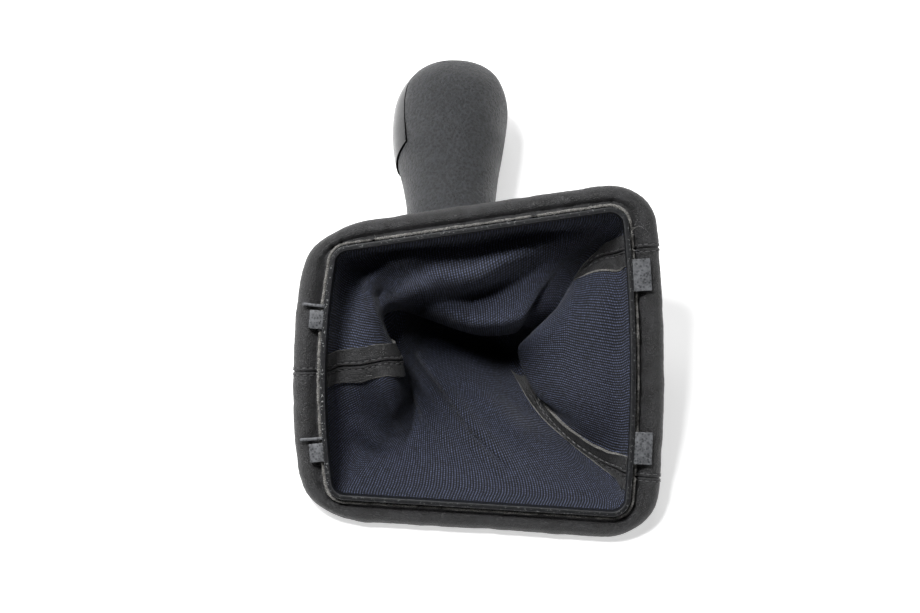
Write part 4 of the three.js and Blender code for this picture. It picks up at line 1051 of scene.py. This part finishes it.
# Oval rings of the knob: share of its length, fullness, and lean to the rear in millimetres.
KNOB_RINGS = np.array([[0, 0.73, 0], [0.1, 0.735, 0.2], [0.2, 0.75, 0.6], [0.31, 0.8, 1.5], [0.41, 0.86, 2.6],
                       [0.51, 0.935, 3.6], [0.61, 0.985, 4.1], [0.72, 1, 3.9], [0.8, 0.965, 3.4],
                       [0.87, 0.87, 2.8], [0.925, 0.74, 2.2], [0.965, 0.54, 1.7], [0.99, 0.28, 1.3],
                       [1, 0, 1.3]])
# Edge of the face cap seen from above: shares of the knob's length, millimetres rearward of the axis.
CAP_EDGE = np.array([[0.41, 34], [0.425, 27], [0.47, 21.2], [0.59, 23], [0.7, 23.8], [0.79, 23.3],
                     [0.85, 21.4], [0.925, 17.2], [0.98, 10], [1.03, 5]])
# The lever's axis is that of its bush, and the knob starts where its solid does.
knob_foot = np.array(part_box("lever_bush")).mean(0)
knob_foot[1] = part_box("knob_grip")[0][1]


def knob_rings(steps):
    """Rings of the knob, a cubic through the stations counted one by one: share of its length,
    half width and lean. The count passes the last stations slowly, where the end turns round."""
    count = np.arange(float(len(KNOB_RINGS)))
    share, fullness, lean_back = cubic(count, KNOB_RINGS, steps).T
    return share, np.maximum(fullness, 0) * KNOB_WIDTH / 2, lean_back


def rounded(part):
    """A cosine or sine turned into that of a superellipse: its size to a power, with its sign."""
    return np.sign(part) * np.abs(part) ** (2 / KNOB_ROUNDNESS)


def edge_angle(share, half_width, lean_back, shift):
    """Half the turn about the lever that the grip covers at each ring: up to where the ring crosses
    the cap's edge less a shift, and all but a narrow split where it doesn't."""
    edge = np.interp(share, CAP_EDGE[:, 0], CAP_EDGE[:, 1]) - shift
    crossing = (lean_back - edge) / np.maximum(half_width, 1e-6)
    free = np.arccos(np.clip(-np.abs(crossing) ** (KNOB_ROUNDNESS / 2), -1, 1))
    split = GRIP_SPLIT / np.maximum(half_width, 1)
    return np.where(crossing <= -1, math.pi - split, np.minimum(free, math.pi - split))


def knob_shell(name, steps, first_angle, last_angle, columns, proud=0):
    """Part of the knob's outer face between two angles at each ring, as a superellipse about the
    lever, thickened inward to the skin's depth. It can stand proud by some millimetres at each ring."""
    share, half_width, lean_back = (part[:, None] for part in knob_rings(steps))
    half_width = half_width + np.reshape(proud, (-1, 1))
    angle = np.linspace(first_angle, last_angle, columns, axis=1)
    x = -lean_back + half_width * rounded(np.cos(angle))
    z = half_width * KNOB_DEPTH / KNOB_WIDTH * rounded(np.sin(angle))
    points = np.stack([x, share * KNOB_LENGTH + 0 * angle, z], -1) * MM + knob_foot
    piece = mesh_object(name, points, grid_faces(len(steps), columns)[:, ::-1])
    shape = bmesh.new()
    shape.from_mesh(piece.data)
    bmesh.ops.remove_doubles(shape, verts=shape.verts, dist=0.01 * MM)
    bmesh.ops.recalc_face_normals(shape, faces=shape.faces)
    shape.to_mesh(piece.data)
    shape.free()
    wall = piece.modifiers.new("wall", "SOLIDIFY")
    wall.thickness, wall.offset, wall.use_even_offset = KNOB_SKIN * MM, -1, False
    # The wall's cut edges take the second finish, painted near black: a painted shade in the gaps.
    wall.material_offset_rim = 1
    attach(piece, "root")
    return piece


# The grip's rings stand closest beside the cap's lower corner.
last_station = len(KNOB_RINGS) - 1
grip_steps = np.concatenate([np.linspace(0, 3.9, 60, endpoint=False),
                             np.linspace(3.9, 5.3, 70, endpoint=False),
                             np.linspace(5.3, last_station, 110)])
covered = edge_angle(*knob_rings(grip_steps), CLEARANCE)
grip = knob_shell("grip_skin", grip_steps, -covered, covered, 150)
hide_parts("knob_grip")

# Soft PVC with a moulded leather grain: pebbles of 1.15 mm and a finer grit on them, unevenly dulled by
# handling. Its colour follows the grain's height: darker in the pits, a painted shade, and lighter on the
# pebbles' tops, a painted highlight. Its edges at the parting are painted near black and matt, a painted
# shade in the gap.
soft_black, tree, shader = finish_of("grained soft PVC")
place = node(tree, "TexCoord", {}, "Object")
pebbles = node(tree, "TexVoronoi", {"Vector": place, "Scale": 1 / (1.15 * MM)}, "Distance",
               feature="SMOOTH_F1")
fine = node(tree, "TexNoise", {"Vector": place, "Scale": 1 / (0.4 * MM), "Detail": 3.0})
handled = node(tree, "TexNoise", {"Vector": place, "Scale": 1 / (14 * MM), "Detail": 4.0})
height = node(tree, "Math", {0: pebbles, 1: fine}, operation="ADD")
# Colour by the grain's height: painted shade in the pits, painted highlight on the tops.
shade = node(tree, "MapRange", {0: height, 1: 0.55, 2: 1.15, 3: 0.0, 4: 1.0})
colour = node(tree, "Mix", {0: shade, 6: srgb("#08090a"), 7: srgb("#323438")}, 2, data_type="RGBA")
dull = node(tree, "MapRange", {0: handled, 1: 0.35, 2: 0.65, 3: 0.45, 4: 0.6})
bump = node(tree, "Bump", {"Height": height, "Strength": 1.0, "Distance": 0.5 * MM})
feed(shader, {"IOR": 1.52, "Sheen Weight": 0.1, "Sheen Roughness": 0.4, "Base Color": colour,
              "Roughness": dull, "Normal": bump})
# Painted shade for the walls of the gaps: near black, matt and without gloss.
painted_gap_shade, _, shader = finish_of("painted gap shade")
feed(shader, {"Base Color": srgb("#060607"), "Roughness": 1.0, "Specular IOR Level": 0.05})
for finish in (soft_black, painted_gap_shade):
    grip.data.materials.append(finish)

# Face cap: a smooth plate of black ABS, polished in the mould, let into the grip's rear face and snapped to
# the core. A fine gap runs round it, its walls painted near black as a painted shade, and its lower end
# stands proud of the grip.
CAP_PROUD, CAP_PROUD_OVER = 0.9, 2.2
look = np.linspace(3.5, last_station, 4000)
share, half_width, lean_back = knob_rings(look)
opened = edge_angle(share, half_width, lean_back, 0)
is_cap = opened < math.pi - 2 * GRIP_SPLIT / np.maximum(half_width, 1)
cap_steps = np.linspace(look[is_cap][0], look[is_cap][-1], 150)
opened = edge_angle(*knob_rings(cap_steps), 0)
proud = CAP_PROUD * np.clip(1 - (cap_steps - cap_steps[0]) / CAP_PROUD_OVER, 0, 1) ** 1.5
cap = knob_shell("face_cap", cap_steps, opened, 2 * math.pi - opened, 60, proud)
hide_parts("knob_face_cap")
# Polished ABS: it mirrors the room softly, broken by faint wipe marks of 3 mm.
gloss_black, tree, shader = finish_of("polished black ABS")
place = node(tree, "TexCoord", {}, "Object")
hairlines = node(tree, "TexNoise", {"Vector": place, "Scale": 1 / (3 * MM), "Detail": 8.0, "Roughness": 0.7})
dull = node(tree, "MapRange", {0: hairlines, 1: 0.3, 2: 0.7, 3: 0.16, 4: 0.3})
colour = node(tree, "Mix", {0: hairlines, 6: srgb("#1a1b1d"), 7: srgb("#26272a")}, 2, data_type="RGBA")
feed(shader, {"IOR": 1.53, "Base Color": colour, "Roughness": dull})
for finish in (gloss_black, painted_gap_shade):
    cap.data.materials.append(finish)


# Knob core, lever bush, neck ring and tie: hidden behind the grip and the leather. The core is
# moulded PBT, the bush is turned steel, and the ring and tie are black nylon pushed over the neck.

# Glass-filled PBT: satin, with cloudy flow marks of 2 mm.
core_black, tree, shader = finish_of("glass-filled black PBT")
place = node(tree, "TexCoord", {}, "Object")
flow = node(tree, "TexNoise", {"Vector": place, "Scale": 1 / (2 * MM), "Detail": 5.0})
colour = node(tree, "Mix", {0: flow, 6: srgb("#2c2c2e"), 7: srgb("#4a4a4c")}, 2, data_type="RGBA")
dull = node(tree, "MapRange", {0: flow, 1: 0.3, 2: 0.7, 3: 0.5, 4: 0.7})
feed(shader, {"IOR": 1.6, "Base Color": colour, "Roughness": dull})

# Turned steel: bright, with tool marks 0.2 mm apart round the bore.
turned_steel, tree, shader = finish_of("turned steel")
place = node(tree, "TexCoord", {}, "Object")
along_lever = node(tree, "SeparateXYZ", {0: place}, "Y")
marks = node(tree, "Math", {0: along_lever, 1: 2 * math.pi / (0.2 * MM)}, operation="MULTIPLY")
marks = node(tree, "Math", {0: marks}, operation="SINE")
dull = node(tree, "MapRange", {0: marks, 1: -1.0, 2: 1.0, 3: 0.25, 4: 0.45})
feed(shader, {"Metallic": 1.0, "Base Color": srgb("#b4b4b6"), "Roughness": dull})

# Moulded nylon: satin, with the mould's fine grain.
nylon_black, tree, shader = finish_of("moulded black nylon")
place = node(tree, "TexCoord", {}, "Object")
grain = node(tree, "TexNoise", {"Vector": place, "Scale": 1 / (0.4 * MM), "Detail": 3.0})
colour = node(tree, "Mix", {0: grain, 6: srgb("#161617"), 7: srgb("#2a2a2c")}, 2, data_type="RGBA")
dull = node(tree, "MapRange", {0: grain, 1: 0.3, 2: 0.7, 3: 0.4, 4: 0.55})
feed(shader, {"IOR": 1.53, "Base Color": colour, "Roughness": dull})

for node_name, finish in (("knob_core", core_black), ("lever_bush", turned_steel),
                          ("neck_ring", nylon_black), ("neck_tie", nylon_black)):
    for slot_of_node in bpy.data.objects[node_name].material_slots:
        slot_of_node.material = finish


# Stand, light and camera: a white table, a room white at the horizon and dim overhead, and soft lamps:
# the key stands high on the left, with a weak fill behind and a strip low behind the left.
FLOOR_HALF_SIZE, FLOOR_GLOW, ROOM_GLOW, OVERHEAD_GLOW = 3.0, 0.6, 0.03, 0.12
corners = np.array([[-1, -1, 0], [1, -1, 0], [1, 1, 0], [-1, 1, 0]]) * FLOOR_HALF_SIZE
floor = mesh_object("floor", corners, np.array([[0, 1, 2, 3]]), smooth=False)
# Matt paper: no reflection. The camera, mirrors and glass see it glow white, and it keeps the shadow.
paper, tree, shader = finish_of("matt white paper")
by_camera = node(tree, "LightPath", {}, "Is Camera Ray")
by_gloss = node(tree, "LightPath", {}, "Is Glossy Ray")
by_glass = node(tree, "LightPath", {}, "Is Transmission Ray")
seen = node(tree, "Math", {0: by_camera, 1: by_gloss}, operation="MAXIMUM")
seen = node(tree, "Math", {0: seen, 1: by_glass}, operation="MAXIMUM")
glow = node(tree, "Math", {0: seen, 1: FLOOR_GLOW}, operation="MULTIPLY")
feed(shader, {"Roughness": 1.0, "Specular IOR Level": 0.0, "Base Color": srgb("#f4f4f4"),
              "Emission Color": (1, 1, 1, 1), "Emission Strength": glow})
floor.data.materials.append(paper)

world = bpy.data.worlds.new("white room")
bpy.context.scene.world = world
world.use_nodes = True
tree = world.node_tree
by_camera = node(tree, "LightPath", {}, "Is Camera Ray")
by_gloss = node(tree, "LightPath", {}, "Is Glossy Ray")
by_glass = node(tree, "LightPath", {}, "Is Transmission Ray")
heading = node(tree, "TexCoord", {}, "Generated")
heading = node(tree, "SeparateXYZ", {0: heading}, "Z")
reflected = node(tree, "MapRange", {0: heading, 1: 0.1, 2: 0.5, 3: 1.0, 4: OVERHEAD_GLOW})
reflected = node(tree, "Math", {0: by_gloss, 1: reflected}, operation="MULTIPLY")
seen = node(tree, "Math", {0: by_camera, 1: by_glass}, operation="MAXIMUM")
seen = node(tree, "Math", {0: seen, 1: reflected}, operation="MAXIMUM")
strength = node(tree, "Math", {0: seen, 1: ROOM_GLOW}, operation="MAXIMUM")
feed(tree.nodes["Background"], {"Color": (1, 1, 1, 1), "Strength": strength})

LIT = Vector((0, -0.02, 0.03))


def lamp(name, place, size, watts):
    """A square area lamp of a size in metres, turned from its place towards the lit spot."""
    data = bpy.data.lights.new(name, "AREA")
    data.size = size
    data.energy = watts
    made = bpy.data.objects.new(name, data)
    bpy.context.scene.collection.objects.link(made)
    made.location = place
    made.rotation_euler = (LIT - Vector(place)).to_track_quat("-Z", "Y").to_euler()


lamp("key softbox", (-0.36, 0.06, 1.1), 0.25, 13)
lamp("back softbox", (0, 0.5, 1.05), 0.45, 2)
lamp("left strip", (-0.85, 0.45, 0.6), 0.45, 4)

# The camera stands off a point near the middle of the mouth, which the picture shows at AIM_PIXEL.
CAMERA_AZIMUTH, CAMERA_ELEVATION, CAMERA_DISTANCE = math.radians(3.9), math.radians(60), 0.8
FOCAL_PIXELS, PICTURE_WIDTH, PICTURE_HEIGHT, SENSOR = 1975, 920, 613, 36.0
AIM_POINT, AIM_PIXEL = Vector((-0.000639, -0.047147, 0.03607)), (478, 362)
back = Vector((math.sin(CAMERA_AZIMUTH) * math.cos(CAMERA_ELEVATION),
               -math.cos(CAMERA_AZIMUTH) * math.cos(CAMERA_ELEVATION), math.sin(CAMERA_ELEVATION)))
right = Vector((math.cos(CAMERA_AZIMUTH), math.sin(CAMERA_AZIMUTH), 0))
up = back.cross(right)
camera_data = bpy.data.cameras.new("camera")
camera_data.sensor_width = SENSOR
camera_data.lens = FOCAL_PIXELS * SENSOR / PICTURE_WIDTH
camera = bpy.data.objects.new("camera", camera_data)
bpy.context.scene.collection.objects.link(camera)
shift_right = (AIM_PIXEL[0] - PICTURE_WIDTH / 2) / FOCAL_PIXELS * CAMERA_DISTANCE
shift_up = (AIM_PIXEL[1] - PICTURE_HEIGHT / 2) / FOCAL_PIXELS * CAMERA_DISTANCE
camera.location = AIM_POINT + back * CAMERA_DISTANCE - right * shift_right + up * shift_up
camera.rotation_euler = Matrix((right, up, back)).transposed().to_euler()
bpy.context.scene.camera = camera
bpy.context.scene.view_settings.view_transform = "Standard"
